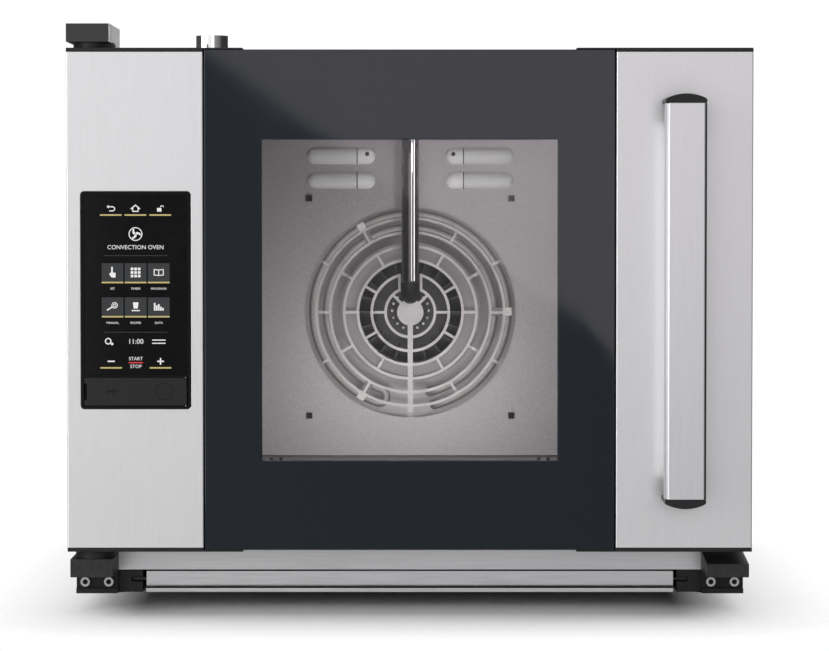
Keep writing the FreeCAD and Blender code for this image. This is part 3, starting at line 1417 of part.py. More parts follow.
def make_blower():
    """Cooling fan at the rear cover: square frame with ribs and a spindle, and a bladed rotor on it."""
    middle = "-blower_side"
    axis = (middle, "blower_height")
    half = "blower_width / 2"
    shell = block("blower_shell", (f"{middle} - {half}", f"{middle} + {half}"),
                  ("blower_front", "blower_back"), (f"blower_height - {half}", f"blower_height + {half}"))
    bore = rod("blower_bore_rod", "y", axis, "blower_bore", "blower_front - blower_rib",
               "blower_back + blower_rib")
    ribs = ("blower_front", "blower_front + blower_rib")
    flat = block("blower_rib_flat", (f"{middle} - {half}", f"{middle} + {half}"), ribs,
                 ("blower_height - blower_rib / 2", "blower_height + blower_rib / 2"))
    upright = block("blower_rib_upright", (f"{middle} - blower_rib / 2", f"{middle} + blower_rib / 2"), ribs,
                    (f"blower_height - {half}", f"blower_height + {half}"))
    spindle = rod("blower_spindle_rod", "y", axis, "blower_spindle", ribs[1], "blower_back - blower_rib")
    finish(join("blower", cut("blower_ring", shell, bore), flat, upright, spindle), "cooling_fan_frame")

    body = new_body("rotor")
    rotor_back = "blower_back - blower_rib / 2"
    length = "blower_depth - 2 * blower_rib"
    hub = new_sketch(body, "rotor_hub", "XZ", rotor_back)
    hub.setExpression("AttachmentOffset.Base.x", formula(middle))
    hub.setExpression("AttachmentOffset.Base.y", formula("blower_height"))
    circle(hub, "0", "0", "blower_hub")
    pad(body, hub, length)
    blade = new_sketch(body, "rotor_blade", "XZ", rotor_back)
    blade.setExpression("AttachmentOffset.Base.x", formula(middle))
    blade.setExpression("AttachmentOffset.Base.y", formula("blower_height"))
    rectangle(blade, ("blower_hub - blower_blade", "blower_tip"), ("-blower_blade / 2", "blower_blade / 2"))
    raised = pad(body, blade, length)
    polar(body, [raised], blade, BLOWER_BLADES)
    hole = rod("rotor_bore", "y", axis, "blower_spindle + running_fit", "blower_front",
               "blower_back - blower_rib + moving_gap")
    finish(cut("rotor_cut", body, hole), "cooling_fan_rotor")


def export():
    """Check every object of the document, then write each sub-part to its own file."""
    doc.recompute()
    for item in doc.Objects:
        if {"Invalid", "Error"} & set(item.State):
            raise RuntimeError(f"{item.Name} failed: {item.State}")
    for part in SUB_PARTS:
        if part.Shape.isNull() or not part.Shape.isValid() or not part.Shape.Solids:
            raise RuntimeError(f"{part.Label} has no valid solid")
    os.makedirs("parts", exist_ok=True)
    for part in SUB_PARTS:
        part.Shape.exportStep(f"parts/{part.Label}.step")
    print(len(SUB_PARTS), "sub-parts written")


make_casing()
make_rear_cover()
make_base()
make_liner()
make_gasket_and_magnet()
make_racks()
make_guard()
make_fan()
make_motor()
make_element()
make_water_tube()
make_vent()
make_hinges()
make_door_shells()
make_fascias()
make_handle()
make_touch_control()
make_drip_tray()
make_fittings()
make_power_board()
make_blower()
export()
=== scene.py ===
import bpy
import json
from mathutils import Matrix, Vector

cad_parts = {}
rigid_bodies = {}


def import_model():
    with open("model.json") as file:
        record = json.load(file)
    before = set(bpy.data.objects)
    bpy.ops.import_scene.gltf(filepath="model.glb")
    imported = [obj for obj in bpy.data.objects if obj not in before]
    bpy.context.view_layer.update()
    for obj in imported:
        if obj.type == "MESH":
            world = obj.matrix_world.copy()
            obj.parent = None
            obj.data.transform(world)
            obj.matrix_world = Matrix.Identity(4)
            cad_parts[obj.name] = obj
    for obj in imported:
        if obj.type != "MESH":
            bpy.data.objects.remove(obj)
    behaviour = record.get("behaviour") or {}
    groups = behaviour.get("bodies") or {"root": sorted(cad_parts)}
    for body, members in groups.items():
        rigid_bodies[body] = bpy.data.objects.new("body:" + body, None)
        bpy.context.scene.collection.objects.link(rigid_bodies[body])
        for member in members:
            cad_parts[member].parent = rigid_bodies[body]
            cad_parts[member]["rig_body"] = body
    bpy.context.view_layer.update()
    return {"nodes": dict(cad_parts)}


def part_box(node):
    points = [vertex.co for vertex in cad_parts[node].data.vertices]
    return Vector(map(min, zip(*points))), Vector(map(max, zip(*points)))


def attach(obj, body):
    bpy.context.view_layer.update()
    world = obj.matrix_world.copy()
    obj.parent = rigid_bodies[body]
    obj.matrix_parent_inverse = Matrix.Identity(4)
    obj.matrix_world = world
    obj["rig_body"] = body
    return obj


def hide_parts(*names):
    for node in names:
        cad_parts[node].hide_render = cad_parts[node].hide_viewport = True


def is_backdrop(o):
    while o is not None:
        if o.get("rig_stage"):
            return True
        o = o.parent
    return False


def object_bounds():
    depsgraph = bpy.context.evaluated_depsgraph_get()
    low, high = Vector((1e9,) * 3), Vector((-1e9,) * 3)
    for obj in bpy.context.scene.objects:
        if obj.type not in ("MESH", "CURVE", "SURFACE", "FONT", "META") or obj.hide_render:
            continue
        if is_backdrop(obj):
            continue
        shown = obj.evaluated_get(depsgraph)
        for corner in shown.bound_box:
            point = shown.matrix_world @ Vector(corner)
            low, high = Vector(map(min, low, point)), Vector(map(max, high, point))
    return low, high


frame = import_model()

import json
import math
from collections import namedtuple

import bmesh
import bpy
from bpy.props import FloatProperty, FloatVectorProperty, IntProperty, PointerProperty
from mathutils import Matrix, Vector

bl_info = {
    "name": "Countertop convection oven",
    "version": (1, 0, 0),
    "blender": (4, 5, 0),
    "location": "View3D > Sidebar > Oven",
    "description": "Finishes, glass, display and stage for the oven's CAD frame",
    "category": "Object",
}

MM = 0.001
NODES = frame["nodes"]

# Edges bent more than the first angle count as sharp, and faces bent less than the second become one.
# Corners of a CAD piece or of a sign that lie closer than these lengths become one too.
SHARP = math.radians(35)
FLAT = math.radians(0.5)
SAME_CORNER = 0.001 * MM
SAME_SIGN_CORNER = 0.0001 * MM

# The turn that stands up what is drawn lying flat.
TURNED_UPRIGHT = (math.pi / 2, 0, 0)

# How patterns are stretched along x, y and z, in cycles per metre.
ALONG_X = (18, 500, 900)
ALONG_Y = (700, 12, 700)
ALONG_Z = (900, 500, 12)
BRUSHED = (420, 420, 36)
EVEN = (420, 420, 420)
COARSE = (130, 130, 130)
CLOUDS = (9, 9, 9)
PANE_SMEARS = (14, 14, 3)
ENAMEL_SMEARS = (10, 10, 3)
ENAMEL_FLECKS = (900, 900, 900)
SCREEN_DOTS = (2600, 2600, 2600)

# The part of a pattern's values that is used, the share of the broad clouding in a worked surface, the
# depth of its relief, and half the width of the step between two finishes.
USEFUL = (0.32, 0.68)
CLOUD_SHARE = 0.4
RELIEF_DEPTH = 0.4 * MM
ZONE_STEP = 0.2 * MM

# The roughness of the panes and of the enamel, the share that a pane mirrors at a slant, the slants over
# which that grows, how much lighter the enamel's flecks are, and how dim a sign is between its dots.
PANE_ROUGHNESS = (0.02, 0.06)
ENAMEL_ROUGHNESS = (0.03, 0.07)
SLANT_MIRROR = 0.9
SLANTS = (0.4, 1.0)
FLECK_SHADE = 1.6
DIM_SHADE = 0.8

# A finish: its darker and lighter shade, how metallic it is, its roughness from smooth to rough, how its
# grain is stretched, how strong the relief of that grain is, and how strongly its face mirrors.
Finish = namedtuple("Finish", "dark light metallic smooth rough stretch relief gloss", defaults=(0.5,))

FINISHES = {
    "fascia_steel": Finish((0.748, 0.751, 0.758), (0.792, 0.795, 0.802), 1.0, 0.38, 0.42, BRUSHED, 0.015),
    "handle_metal": Finish((0.685, 0.692, 0.709), (0.720, 0.727, 0.744), 1.0, 0.34, 0.37, BRUSHED, 0.015),
    "steel_sheet": Finish((0.56, 0.56, 0.57), (0.70, 0.70, 0.71), 1.0, 0.30, 0.44, ALONG_X, 0.04),
    "side_sheet": Finish((0.57, 0.57, 0.58), (0.68, 0.68, 0.69), 1.0, 0.33, 0.41, ALONG_Y, 0.04),
    "cavity_steel": Finish((0.38, 0.356, 0.364), (0.46, 0.431, 0.440), 0.3, 0.44, 0.58, ALONG_Y, 0.04),
    "guard_ring": Finish((0.50, 0.476, 0.481), (0.57, 0.543, 0.548), 0.3, 0.44, 0.58, EVEN, 0.02),
    # Near black for the guard's posts, also used as painted shade in the louvres' splits and screw holes,
    # the screw sockets and the drip tray's fold.
    "guard_post": Finish((0.010, 0.009, 0.009), (0.018, 0.016, 0.016), 0.0, 0.6, 0.75, EVEN, 0.04, 0.1),
    "tube_steel": Finish((0.20, 0.19, 0.195), (0.26, 0.25, 0.255), 1.0, 0.03, 0.06, ALONG_Z, 0.006),
    # Near black for the water tube's lower end: painted shade where the tube bends back.
    "tube_end_shade": Finish((0.012, 0.011, 0.011), (0.020, 0.018, 0.018), 0.0, 0.45, 0.6, ALONG_Z, 0.0, 0.2),
    # Near black for the fan wheel's mouth: painted shade inside the impeller.
    "fan_mouth_shade": Finish((0.017, 0.014, 0.014), (0.022, 0.019, 0.019), 0.2, 0.42, 0.58, EVEN, 0.0),
    "fan_rim": Finish((0.145, 0.135, 0.138), (0.180, 0.169, 0.172), 0.3, 0.42, 0.58, EVEN, 0.0),
    "clip_foot": Finish((0.14, 0.13, 0.13), (0.17, 0.16, 0.16), 0.3, 0.42, 0.58, EVEN, 0.0),
    "clip_head": Finish((0.45, 0.44, 0.43), (0.53, 0.52, 0.51), 0.3, 0.42, 0.58, EVEN, 0.0),
    "flap_mark": Finish((0.004, 0.004, 0.004), (0.008, 0.008, 0.008), 0.0, 0.40, 0.55, EVEN, 0.0, 0.2),
    # Near black: the drip tray's black end caps, and painted shade on the handle bar's right edge.
    "black_coat_and_shade": Finish((0.006, 0.006, 0.006), (0.010, 0.010, 0.010), 0.0, 0.42, 0.56, EVEN, 0.0, 0.3),
    "housing_coat": Finish((0.003, 0.003, 0.003), (0.006, 0.006, 0.006), 0.0, 0.36, 0.5, EVEN, 0.02, 0.12),
    # Light grey on the hinge arm's machined right side, painted lighter as a painted highlight.
    "machined_face_highlight": Finish((0.74, 0.73, 0.73), (0.84, 0.83, 0.83), 0.2, 0.30, 0.42, EVEN, 0.0),
    # The louvres are painted pale as a painted sheen, and the cap lighter than the hood as a painted
    # highlight.
    "louvre_hood": Finish((0.78, 0.78, 0.77), (0.87, 0.87, 0.86), 0.0, 0.45, 0.60, EVEN, 0.03),
    "louvre_cap": Finish((0.93, 0.93, 0.92), (0.98, 0.98, 0.97), 0.0, 0.45, 0.60, EVEN, 0.03),
    "rivet_head": Finish((0.70, 0.69, 0.69), (0.86, 0.85, 0.85), 0.2, 0.30, 0.42, EVEN, 0.0),
    "zinc_head": Finish((0.40, 0.40, 0.40), (0.56, 0.56, 0.56), 1.0, 0.26, 0.38, EVEN, 0.02),
    "fan_steel": Finish((0.50, 0.49, 0.49), (0.66, 0.65, 0.65), 1.0, 0.28, 0.42, EVEN, 0.03),
    "bright_steel": Finish((0.82, 0.82, 0.83), (0.92, 0.92, 0.93), 1.0, 0.03, 0.06, ALONG_Z, 0.006),
    "screw_steel": Finish((0.58, 0.58, 0.59), (0.78, 0.78, 0.79), 1.0, 0.20, 0.34, EVEN, 0.02),
    "base_steel": Finish((0.045, 0.045, 0.048), (0.075, 0.075, 0.08), 0.0, 0.42, 0.58, EVEN, 0.05),
    "black_casting": Finish((0.016, 0.016, 0.017), (0.032, 0.032, 0.033), 0.0, 0.40, 0.56, EVEN, 0.12),
    # A darker copy of the black casting: painted shade under the door, on the hinge blocks and bushes.
    "painted_shade_casting": Finish((0.006, 0.006, 0.006), (0.012, 0.012, 0.012), 0.0, 0.44, 0.58, EVEN, 0.1, 0.3),
    "black_plastic": Finish((0.009, 0.009, 0.010), (0.017, 0.017, 0.018), 0.0, 0.36, 0.5, EVEN, 0.06, 0.3),
    "screen_glass": Finish((0.004, 0.004, 0.004), (0.007, 0.007, 0.008), 0.0, 0.05, 0.1, COARSE, 0.002,
                           0.12),
    "seal_rubber": Finish((0.018, 0.018, 0.019), (0.036, 0.036, 0.038), 0.0, 0.60, 0.75, EVEN, 0.08),
    "foot_rubber": Finish((0.014, 0.014, 0.014), (0.030, 0.030, 0.030), 0.0, 0.66, 0.80, EVEN, 0.10),
    "magnet": Finish((0.10, 0.10, 0.10), (0.16, 0.16, 0.16), 0.6, 0.40, 0.55, EVEN, 0.04),
    "element_sheath": Finish((0.22, 0.21, 0.208), (0.32, 0.305, 0.30), 0.5, 0.38, 0.56, COARSE, 0.05),
    "mineral_wool": Finish((0.42, 0.38, 0.26), (0.66, 0.62, 0.46), 0.0, 0.85, 0.95, COARSE, 0.60),
    "motor_case": Finish((0.12, 0.12, 0.13), (0.22, 0.22, 0.23), 0.4, 0.45, 0.60, EVEN, 0.10),
    "circuit_board": Finish((0.012, 0.075, 0.030), (0.025, 0.14, 0.055), 0.0, 0.35, 0.50, COARSE, 0.06),
    "brass": Finish((0.60, 0.42, 0.16), (0.80, 0.60, 0.28), 1.0, 0.26, 0.40, EVEN, 0.03),
}

# CAD pieces that have a finish of their own within their material slot.
OWN_FINISHES = {
    "left_side_panel": "side_sheet",
    "right_side_panel": "side_sheet",
    "touch_housing": "housing_coat",
    "guard_posts": "guard_post",
    # The hinge bushes are painted near black as painted shade under the door.
    "hinge_bushes": "painted_shade_casting",
    "hinge_screws": "zinc_head",
}

# CAD pieces with two finishes: the one near a centre and the one beyond a limit. The distance counts along
# the axes given, from the middle of the piece named.
Zones = namedtuple("Zones", "near far axes centre limit")
ABOUT_AXIS = (1, 0, 1)
ACROSS = (1, 0, 0)
INTO_DEPTH = (0, 1, 0)
UPRIGHT = (0, 0, 1)
ZONED = {
    # The fan wheel is painted near black inside its mouth, as painted shade.
    "fan_wheel": Zones("fan_mouth_shade", "fan_rim", ABOUT_AXIS, "fan_wheel", 51.5 * MM),
    "fan_guard": Zones("guard_ring", "cavity_steel", ABOUT_AXIS, "fan_wheel", 100.0 * MM),
    # The water tube's lower end is painted near black, as painted shade.
    "water_tube": Zones("tube_end_shade", "tube_steel", UPRIGHT, "fan_wheel", 31.0 * MM),
    "element_clips": Zones("clip_foot", "clip_head", ABOUT_AXIS, "fan_wheel", 94.0 * MM),
    "drip_tray": Zones("steel_sheet", "black_coat_and_shade", ACROSS, "drip_tray", 236.5 * MM),
    # The hinge blocks are painted darker except at their front and rear ends, as painted shade under the
    # door.
    "lower_hinge_block": Zones("painted_shade_casting", "black_casting", INTO_DEPTH, "lower_hinge_block",
                               28.0 * MM),
    "reverse_hinge_block": Zones("painted_shade_casting", "black_casting", INTO_DEPTH, "reverse_hinge_block",
                                 28.0 * MM),
    # The arm's right side is painted light, as a painted highlight on its machined face.
    "upper_hinge_arm": Zones("black_casting", "machined_face_highlight", ACROSS, "left_side_panel", 34.7 * MM),
    # The handle bar's right edge is painted near black, as painted shade.
    "handle_bar": Zones("handle_metal", "black_coat_and_shade", ACROSS, "outer_glass", 253.9 * MM),
}

# CAD pieces that are shown with their sharp edges broken, and the width of that edge in millimetres.
SOFT_EDGES = {
    "upper_hinge_arm": 0.9,
    "lower_hinge_block": 0.9,
    "reverse_hinge_block": 0.9,
    "handle_bar": 0.8,
    "handle_ends": 0.8,
    "touch_housing": 0.5,
    "service_flap": 0.4,
    "door_end_caps": 0.4,
    "drip_tray": 0.25,
    "drip_guides": 0.6,
    "door_pan": 0.5,
    "front_frame": 0.3,
    "left_side_panel": 0.4,
    "right_side_panel": 0.4,
    "top_cover": 0.4,
    "feet": 1.5,
    "left_tray_rack": 0.6,
    "right_tray_rack": 0.6,
    "water_inlet": 0.5,
    "cable_gland": 0.8,
    "vent_flange": 0.4,
}

# Rows of the display in millimetres below the housing's top, and the heights of its capitals.
ROWS = {"keys": 14.3, "key_lines": 19.9, "fan": 36.5, "title": 48.2, "rules": (55.4, 122.4),
        "tiles": (70.1, 100.0), "clock": 130.6, "start": 145.6, "less_more": 147.8, "stop_line": 149.0,
        "stop": 152.4, "foot_lines": 153.5}
CAPITALS = {"title": 3.7, "label": 1.9, "clock": 4.4, "key": 3.0}
LABEL_DROP = 14.2
SIZE_OF_CAPITAL = 1.4

# How strongly the lit pieces shine.
LENS_LIGHT = 1.2
BEAD_LIGHT = 3.0
DISPLAY_LIGHT = {"tiles": 0.5, "lines": 0.55, "signs": 0.45, "stop": 0.55}

# How far domed beads and heads stand out, as a share of their radius.
DOMES = {"lamp_bead": 0.7, "louvre_screw": 0.5, "rivet": 0.6, "socket": 0.3}

# The floor's radius, how far its full strength stays inside the door's sides and reaches ahead of the
# door, the width over which it fades out, and its darker and lighter shade.
FLOOR_RADIUS = 2.0
FLOOR_INSET = 60 * MM
FLOOR_AHEAD = 46 * MM
FLOOR_FADE = 170 * MM
FLOOR_SHADES = ((0.88, 0.88, 0.88), (0.92, 0.92, 0.92))

# Directions over which the room's light changes: from ahead to behind, from left to right, and from level
# to steep.
ROOM_DEPTH = (-0.9, -0.2)
ROOM_WIDTH = (-0.35, 0.35)
ROOM_SLOPE = (0.10, 0.34)

# Studio lights: their place, what they face (the oven's middle where there is none), their width and
# height in metres, and their power in watts.
STUDIO_LIGHTS = {
    "left_softbox": ((-2.2, -2.2, 0.9), None, (1.2, 2.2), 33.0),
    "right_softbox": ((2.3, -1.6, 1.3), None, (0.8, 1.2), 2.0),
    "top_softbox": ((0.0, -0.2, 2.6), None, (2.0, 2.0), 10.0),
    "back_softbox": ((1.2, 2.6, 1.9), None, (2.8, 2.0), 16.0),
    "right_side_softbox": ((2.5, 0.3, 1.9), None, (2.4, 1.8), 14.0),
    "left_side_softbox": ((-2.5, 0.3, 1.9), None, (2.4, 1.8), 14.0),
    "left_card": ((-1.5, -4.4, 0.4), (-1.5, 0.0, 0.4), (1.7, 2.0), 6.0),
    "edge_card": ((-2.5, -0.95, 0.3), (0.0, -0.95, 0.3), (1.1, 0.8), 4.6),
}

# The strip that lights the fascia behind the handle: its place right of the bar's left edge and ahead of
# the fascia, its size and its power.
HANDLE_STRIP = (5 * MM, 12 * MM, (19 * MM, 310 * MM), 0.0082)

# Strips in the cavity that draw the water tube's bright lines: their place as a share of the cavity's half
# width and of its depth, their width and their power.
TUBE_STRIPS = {
    "near_strip": (0.46, 0.07, 30 * MM, 0.0018),
    "far_strip": (0.90, 0.42, 44 * MM, 0.0034),
}
TUBE_STRIP_LENGTH = 185 * MM
TUBE_STRIP_BEAM = math.radians(20)

# Strips just inside the door that wash the rear wall: their place as a share of the cavity's half width,
# how far they and their aim lie above its floor or, where less than nothing, below its roof, their width
# and their power.
WALL_STRIPS = {
    "low_strip": (0.0, 50 * MM, 130 * MM, 200 * MM, 0.185),
    "high_strip": (0.55, -30 * MM, -80 * MM, 100 * MM, 0.056),
}
WALL_STRIP_DEPTH = 0.10
WALL_STRIP_HEIGHT = 30 * MM
WALL_STRIP_BEAM = math.radians(110)

# The panel behind the fan guard: its gap to the guard, its size and its power.
CHAMBER_PANEL = (3 * MM, (250 * MM, 250 * MM), 0.095)

# The card that the door glass mirrors: its distance as a share of the camera's, its size, its brightness,
# its tint, and how high its edge crosses the glass's right side.
CARD_DISTANCE = 1.5
CARD_SIZE = (2.4, 1.2)
CARD_RADIANCE = 1.0
CARD_TINT = (1.0, 0.92, 0.98)
CARD_CROSSING = 175 * MM


def length_setting(name, description, default):
    """A length that a user may change."""
    return FloatProperty(name=name, description=description, default=default, unit="LENGTH")


def colour_setting(name, description, default):
    """A colour that a user may change."""
    return FloatVectorProperty(name=name, description=description, default=default, subtype="COLOR", size=3)


def level_setting(name, description, default, subtype="NONE"):
    """A plain number or an angle that a user may change."""
    return FloatProperty(name=name, description=description, default=default, subtype=subtype)


class OvenSizes(bpy.types.PropertyGroup):
    """Sizes of the pieces that are made here"""

    glass_side: length_setting("Glass side band", "Enamel band beside the window", 0.0503)
    glass_end: length_setting("Glass end band", "Enamel band above and below the window", 0.0786)
    glass_edge: length_setting("Glass edge", "Ground edge of the outer pane", 0.0008)
    mark_rise: length_setting("Mark rise", "How far the display's marks stand proud", 0.00006)
    key_pitch: length_setting("Key pitch", "Distance between the touch keys", 0.0216)
    tile_pitch: length_setting("Tile pitch", "Distance between the display's tiles", 0.0202)
    tile_width: length_setting("Tile width", "Width of a tile", 0.0189)
    tile_height: length_setting("Tile height", "Height of a tile", 0.0162)
    line_width: length_setting("Line width", "Length of the line under a key", 0.0189)
    line_height: length_setting("Line height", "Thickness of the line under a key", 0.0013)
    led_pitch: length_setting("Lamp bead pitch", "Distance between the lamp's beads", 0.0125)
    led_radius: length_setting("Lamp bead radius", "Radius of a lamp bead", 0.0016)
    led_inset: length_setting("Lamp bead inset", "From the lens's outer side to its beads", 0.0058)
    louvre_radius: length_setting("Louvre radius", "Radius of a louvre's dome", 0.0084)
    louvre_wall: length_setting("Louvre wall", "How far a louvre's shell stands over its core", 0.0002)
    louvre_inner: length_setting("Louvre inner end", "From the middle to a louvre's inner end", 0.0345)
    louvre_split: length_setting("Louvre split", "From the middle to a louvre's split", 0.0530)
    louvre_gap: length_setting("Louvre gap", "Width of a louvre's split", 0.001)
    louvre_core: length_setting("Louvre core", "Length of the dark core in a louvre's split", 0.006)
    louvre_outer: length_setting("Louvre outer end", "From the middle to a louvre's outer end", 0.1035)
    louvre_row: length_setting("Louvre row", "Height of the upper louvres", 0.409)
    louvre_pitch: length_setting("Louvre pitch", "Distance between the rows of louvres", 0.0244)
    louvre_screw: length_setting("Louvre screw", "Radius of a louvre's screw", 0.0021)
    louvre_screw_rise: length_setting("Louvre screw rise", "From a louvre's middle up to its screw", 0.002)
    rivet_ring: length_setting("Rivet ring", "Radius of the ring of rivets on the fan's plate", 0.0185)
    rivet_radius: length_setting("Rivet radius", "Radius of a rivet on the fan's plate", 0.0014)
    rivet_count: IntProperty(name="Rivets", description="Number of rivets on the fan's plate", default=16,
                             min=3)
    fan_plate: length_setting("Fan plate", "Thickness of the fan's rear plate", 0.002)
    screw_head: length_setting("Screw head", "Radius of a hinge screw's head", 0.0042)
    screw_pitch: length_setting("Screw pitch", "Distance between the hinge screws", 0.0210)
    socket_radius: length_setting("Socket radius", "Radius of a hinge screw's socket", 0.0022)
    socket_sink: length_setting("Socket sink", "How far a socket lies behind its screw's face", 0.0004)
    fold_height: length_setting("Fold height", "Height of the fold in the drip tray's front", 0.0188)
    fold_width: length_setting("Fold width", "Width of the fold in the drip tray's front", 0.0018)
    fold_margin: length_setting("Fold margin", "From the fold's end to the drip tray's runner", 0.0005)
    seal_corner: length_setting("Seal corner", "Corner radius of the door seal", 0.016)
    seal_sides: IntProperty(name="Seal sides", description="Faces round the seal's bulb", default=20, min=8)


class OvenColours(bpy.types.PropertyGroup):
    """Colours of the pieces that are made here"""

    enamel: colour_setting("Enamel", "Band printed behind the outer pane", (0.0022, 0.0058, 0.0105))
    pane: colour_setting("Pane", "Tint of the clear glass", (0.95, 0.94, 0.95))
    outer_haze: level_setting("Outer haze", "Mirror of the outer pane from the front", 0.023, "FACTOR")
    inner_haze: level_setting("Inner haze", "Mirror of the inner pane from the front", 0.003, "FACTOR")
    accent: colour_setting("Accent", "Lines under the keys", (0.40, 0.33, 0.13))
    mark: colour_setting("Mark", "Signs on the display", (0.68, 0.68, 0.68))
    tile: colour_setting("Tile", "Tiles on the display", (0.014, 0.0155, 0.017))
    stop: colour_setting("Stop", "Line of the start and stop key", (0.55, 0.03, 0.03))
    lamp: colour_setting("Lamp", "Light of the lamps", (1.0, 0.95, 0.90))


class OvenStage(bpy.types.PropertyGroup):
    """Camera and light of the studio"""

    distance: length_setting("Camera distance", "From the camera to the door's face", 3.0)
    height: length_setting("Camera height", "Height above the floor", 0.365)
    side: length_setting("Camera side", "Offset to the right of the middle", 0.0042)
    tilt: level_setting("Camera tilt", "Downward tilt", math.radians(2.09), "ANGLE")
    lens: FloatProperty(name="Lens", description="Focal length on a 36 mm sensor", default=149.06,
                        unit="CAMERA")
    ahead: level_setting("Light ahead", "Brightness of the room in front", 0.45)
    behind: level_setting("Light behind", "Brightness of the room behind", 0.06)
    left: level_setting("Light at the left", "Share of that brightness at the left", 1.15)
    right: level_setting("Light at the right", "Share of that brightness at the right", 0.62)
    dome: level_setting("Light above", "Brightness of the room above and below", 0.55)
    white: level_setting("Backdrop", "Brightness of the room that the camera sees", 1.05)


class OvenSettings(bpy.types.PropertyGroup):
    """All settings of the oven"""

    sizes: PointerProperty(type=OvenSizes)
    colours: PointerProperty(type=OvenColours)
    stage: PointerProperty(type=OvenStage)


def link(piece):
    """Put an object into the scene."""
    bpy.context.scene.collection.objects.link(piece)
    return piece


def fit(piece, body, slot, *nodes):
    """Let a piece move with a body and stand for CAD nodes; the slot is not used."""
    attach(piece, body)
    if nodes:
        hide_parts(*nodes)
    return piece


def middle_of(node):
    """The middle of a CAD piece's box."""
    low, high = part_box(node)
    return (low + high) / 2


def feed(tree, socket, value):
    """Link a node's output to an input, or set the input to a plain value."""
    if isinstance(value, bpy.types.NodeSocket):
        tree.links.new(value, socket)
    else:
        socket.default_value = value


def add_node(tree, kind, *placed, **named):
    """A node with its options, in small letters, and its inputs, by place or by their capitalised names."""
    node = tree.nodes.new(kind)
    for word, value in named.items():
        if word.islower():
            setattr(node, word, value)
        else:
            feed(tree, node.inputs[word.replace("_", " ")], value)
    for socket, value in zip(node.inputs, placed):
        feed(tree, socket, value)
    return node


def new_finish(name):
    """A material and its node tree."""
    material = bpy.data.materials.new(name)
    material.use_nodes = True
    return material, material.node_tree


def shade(tree, **inputs):
    """Set or link inputs of a finish's shader."""
    shader = tree.nodes["Principled BSDF"]
    for word, value in inputs.items():
        feed(tree, shader.inputs[word.replace("_", " ")], value)


def grain(tree, stretch, detail=3.0):
    """A pattern of noise in the piece's own coordinates."""
    place = tree.nodes.new("ShaderNodeTexCoord")
    turn = add_node(tree, "ShaderNodeMapping", Vector=place.outputs["Object"], Scale=stretch)
    noise = add_node(tree, "ShaderNodeTexNoise", Vector=turn.outputs["Vector"], Scale=1.0, Detail=detail,
                     Roughness=0.6)
    return noise.outputs[0]


def spread(tree, value, low, high, useful=USEFUL):
    """The useful part of a pattern's values spread between two numbers."""
    remap = add_node(tree, "ShaderNodeMapRange", Value=value, From_Min=useful[0], From_Max=useful[1],
                     To_Min=low, To_Max=high)
    return remap.outputs["Result"]


def shade_between(tree, value, dark, light):
    """The useful part of a pattern's values spread between two colours."""
    ramp = add_node(tree, "ShaderNodeValToRGB", Fac=value)
    for element, position, colour in zip(ramp.color_ramp.elements, USEFUL, (dark, light)):
        element.position = position
        element.color = (*colour, 1.0)
    return ramp.outputs["Color"]


def blend(tree, share, first, second, colours=False):
    """A mix of two numbers or two colours."""
    mix = add_node(tree, "ShaderNodeMix", data_type="RGBA" if colours else "FLOAT", Factor=share)
    start, end = [socket for socket in mix.inputs if socket.enabled and socket.name in ("A", "B")]
    feed(tree, start, first)
    feed(tree, end, second)
    return next(socket for socket in mix.outputs if socket.enabled)


def worked(name, finish):
    """A worked surface: grain along its working direction, broad clouding and fine relief."""
    material, tree = new_finish(name)
    fine = grain(tree, finish.stretch)
    mixed = blend(tree, CLOUD_SHARE, fine, grain(tree, CLOUDS, 2.0))
    relief = add_node(tree, "ShaderNodeBump", Strength=finish.relief, Distance=RELIEF_DEPTH, Height=fine)
    shade(tree, Base_Color=shade_between(tree, mixed, finish.dark, finish.light),
          Roughness=spread(tree, mixed, finish.smooth, finish.rough), Normal=relief.outputs["Normal"],
          Metallic=finish.metallic, Specular_IOR_Level=finish.gloss)
    return material


def zoned(name, zones):
    """Two finishes on one piece, parted at a distance from a centre."""
    near, far = FINISHES[zones.near], FINISHES[zones.far]
    material, tree = new_finish(name)
    place = tree.nodes.new("ShaderNodeTexCoord")
    shift = tuple(-axis * along for axis, along in zip(zones.axes, middle_of(zones.centre)))
    turn = add_node(tree, "ShaderNodeMapping", Vector=place.outputs["Object"], Location=shift,
                    Scale=zones.axes)
    reach = add_node(tree, "ShaderNodeVectorMath", turn.outputs["Vector"], operation="LENGTH")
    step = (zones.limit - ZONE_STEP, zones.limit + ZONE_STEP)
    beyond = spread(tree, reach.outputs["Value"], 0.0, 1.0, step)
    worn = grain(tree, near.stretch)
    shades = [shade_between(tree, worn, zone.dark, zone.light) for zone in (near, far)]
    roughness = [spread(tree, worn, zone.smooth, zone.rough) for zone in (near, far)]
    shade(tree, Base_Color=blend(tree, beyond, *shades, colours=True),
          Roughness=blend(tree, beyond, *roughness),
          Metallic=blend(tree, beyond, near.metallic, far.metallic), Specular_IOR_Level=near.gloss)
    return material


def clear_glass(name, tint, haze):
    """Clear glass: a faint mirror from the front, a strong one at a slant, with faint wiping marks."""
    material, tree = new_finish(name)
    slant = add_node(tree, "ShaderNodeLayerWeight", Blend=0.5)
    shade(tree, Base_Color=(*tint, 1.0), Metallic=1.0,
          Roughness=spread(tree, grain(tree, PANE_SMEARS), *PANE_ROUGHNESS),
          Alpha=spread(tree, slant.outputs["Facing"], haze, SLANT_MIRROR, SLANTS))
    return material


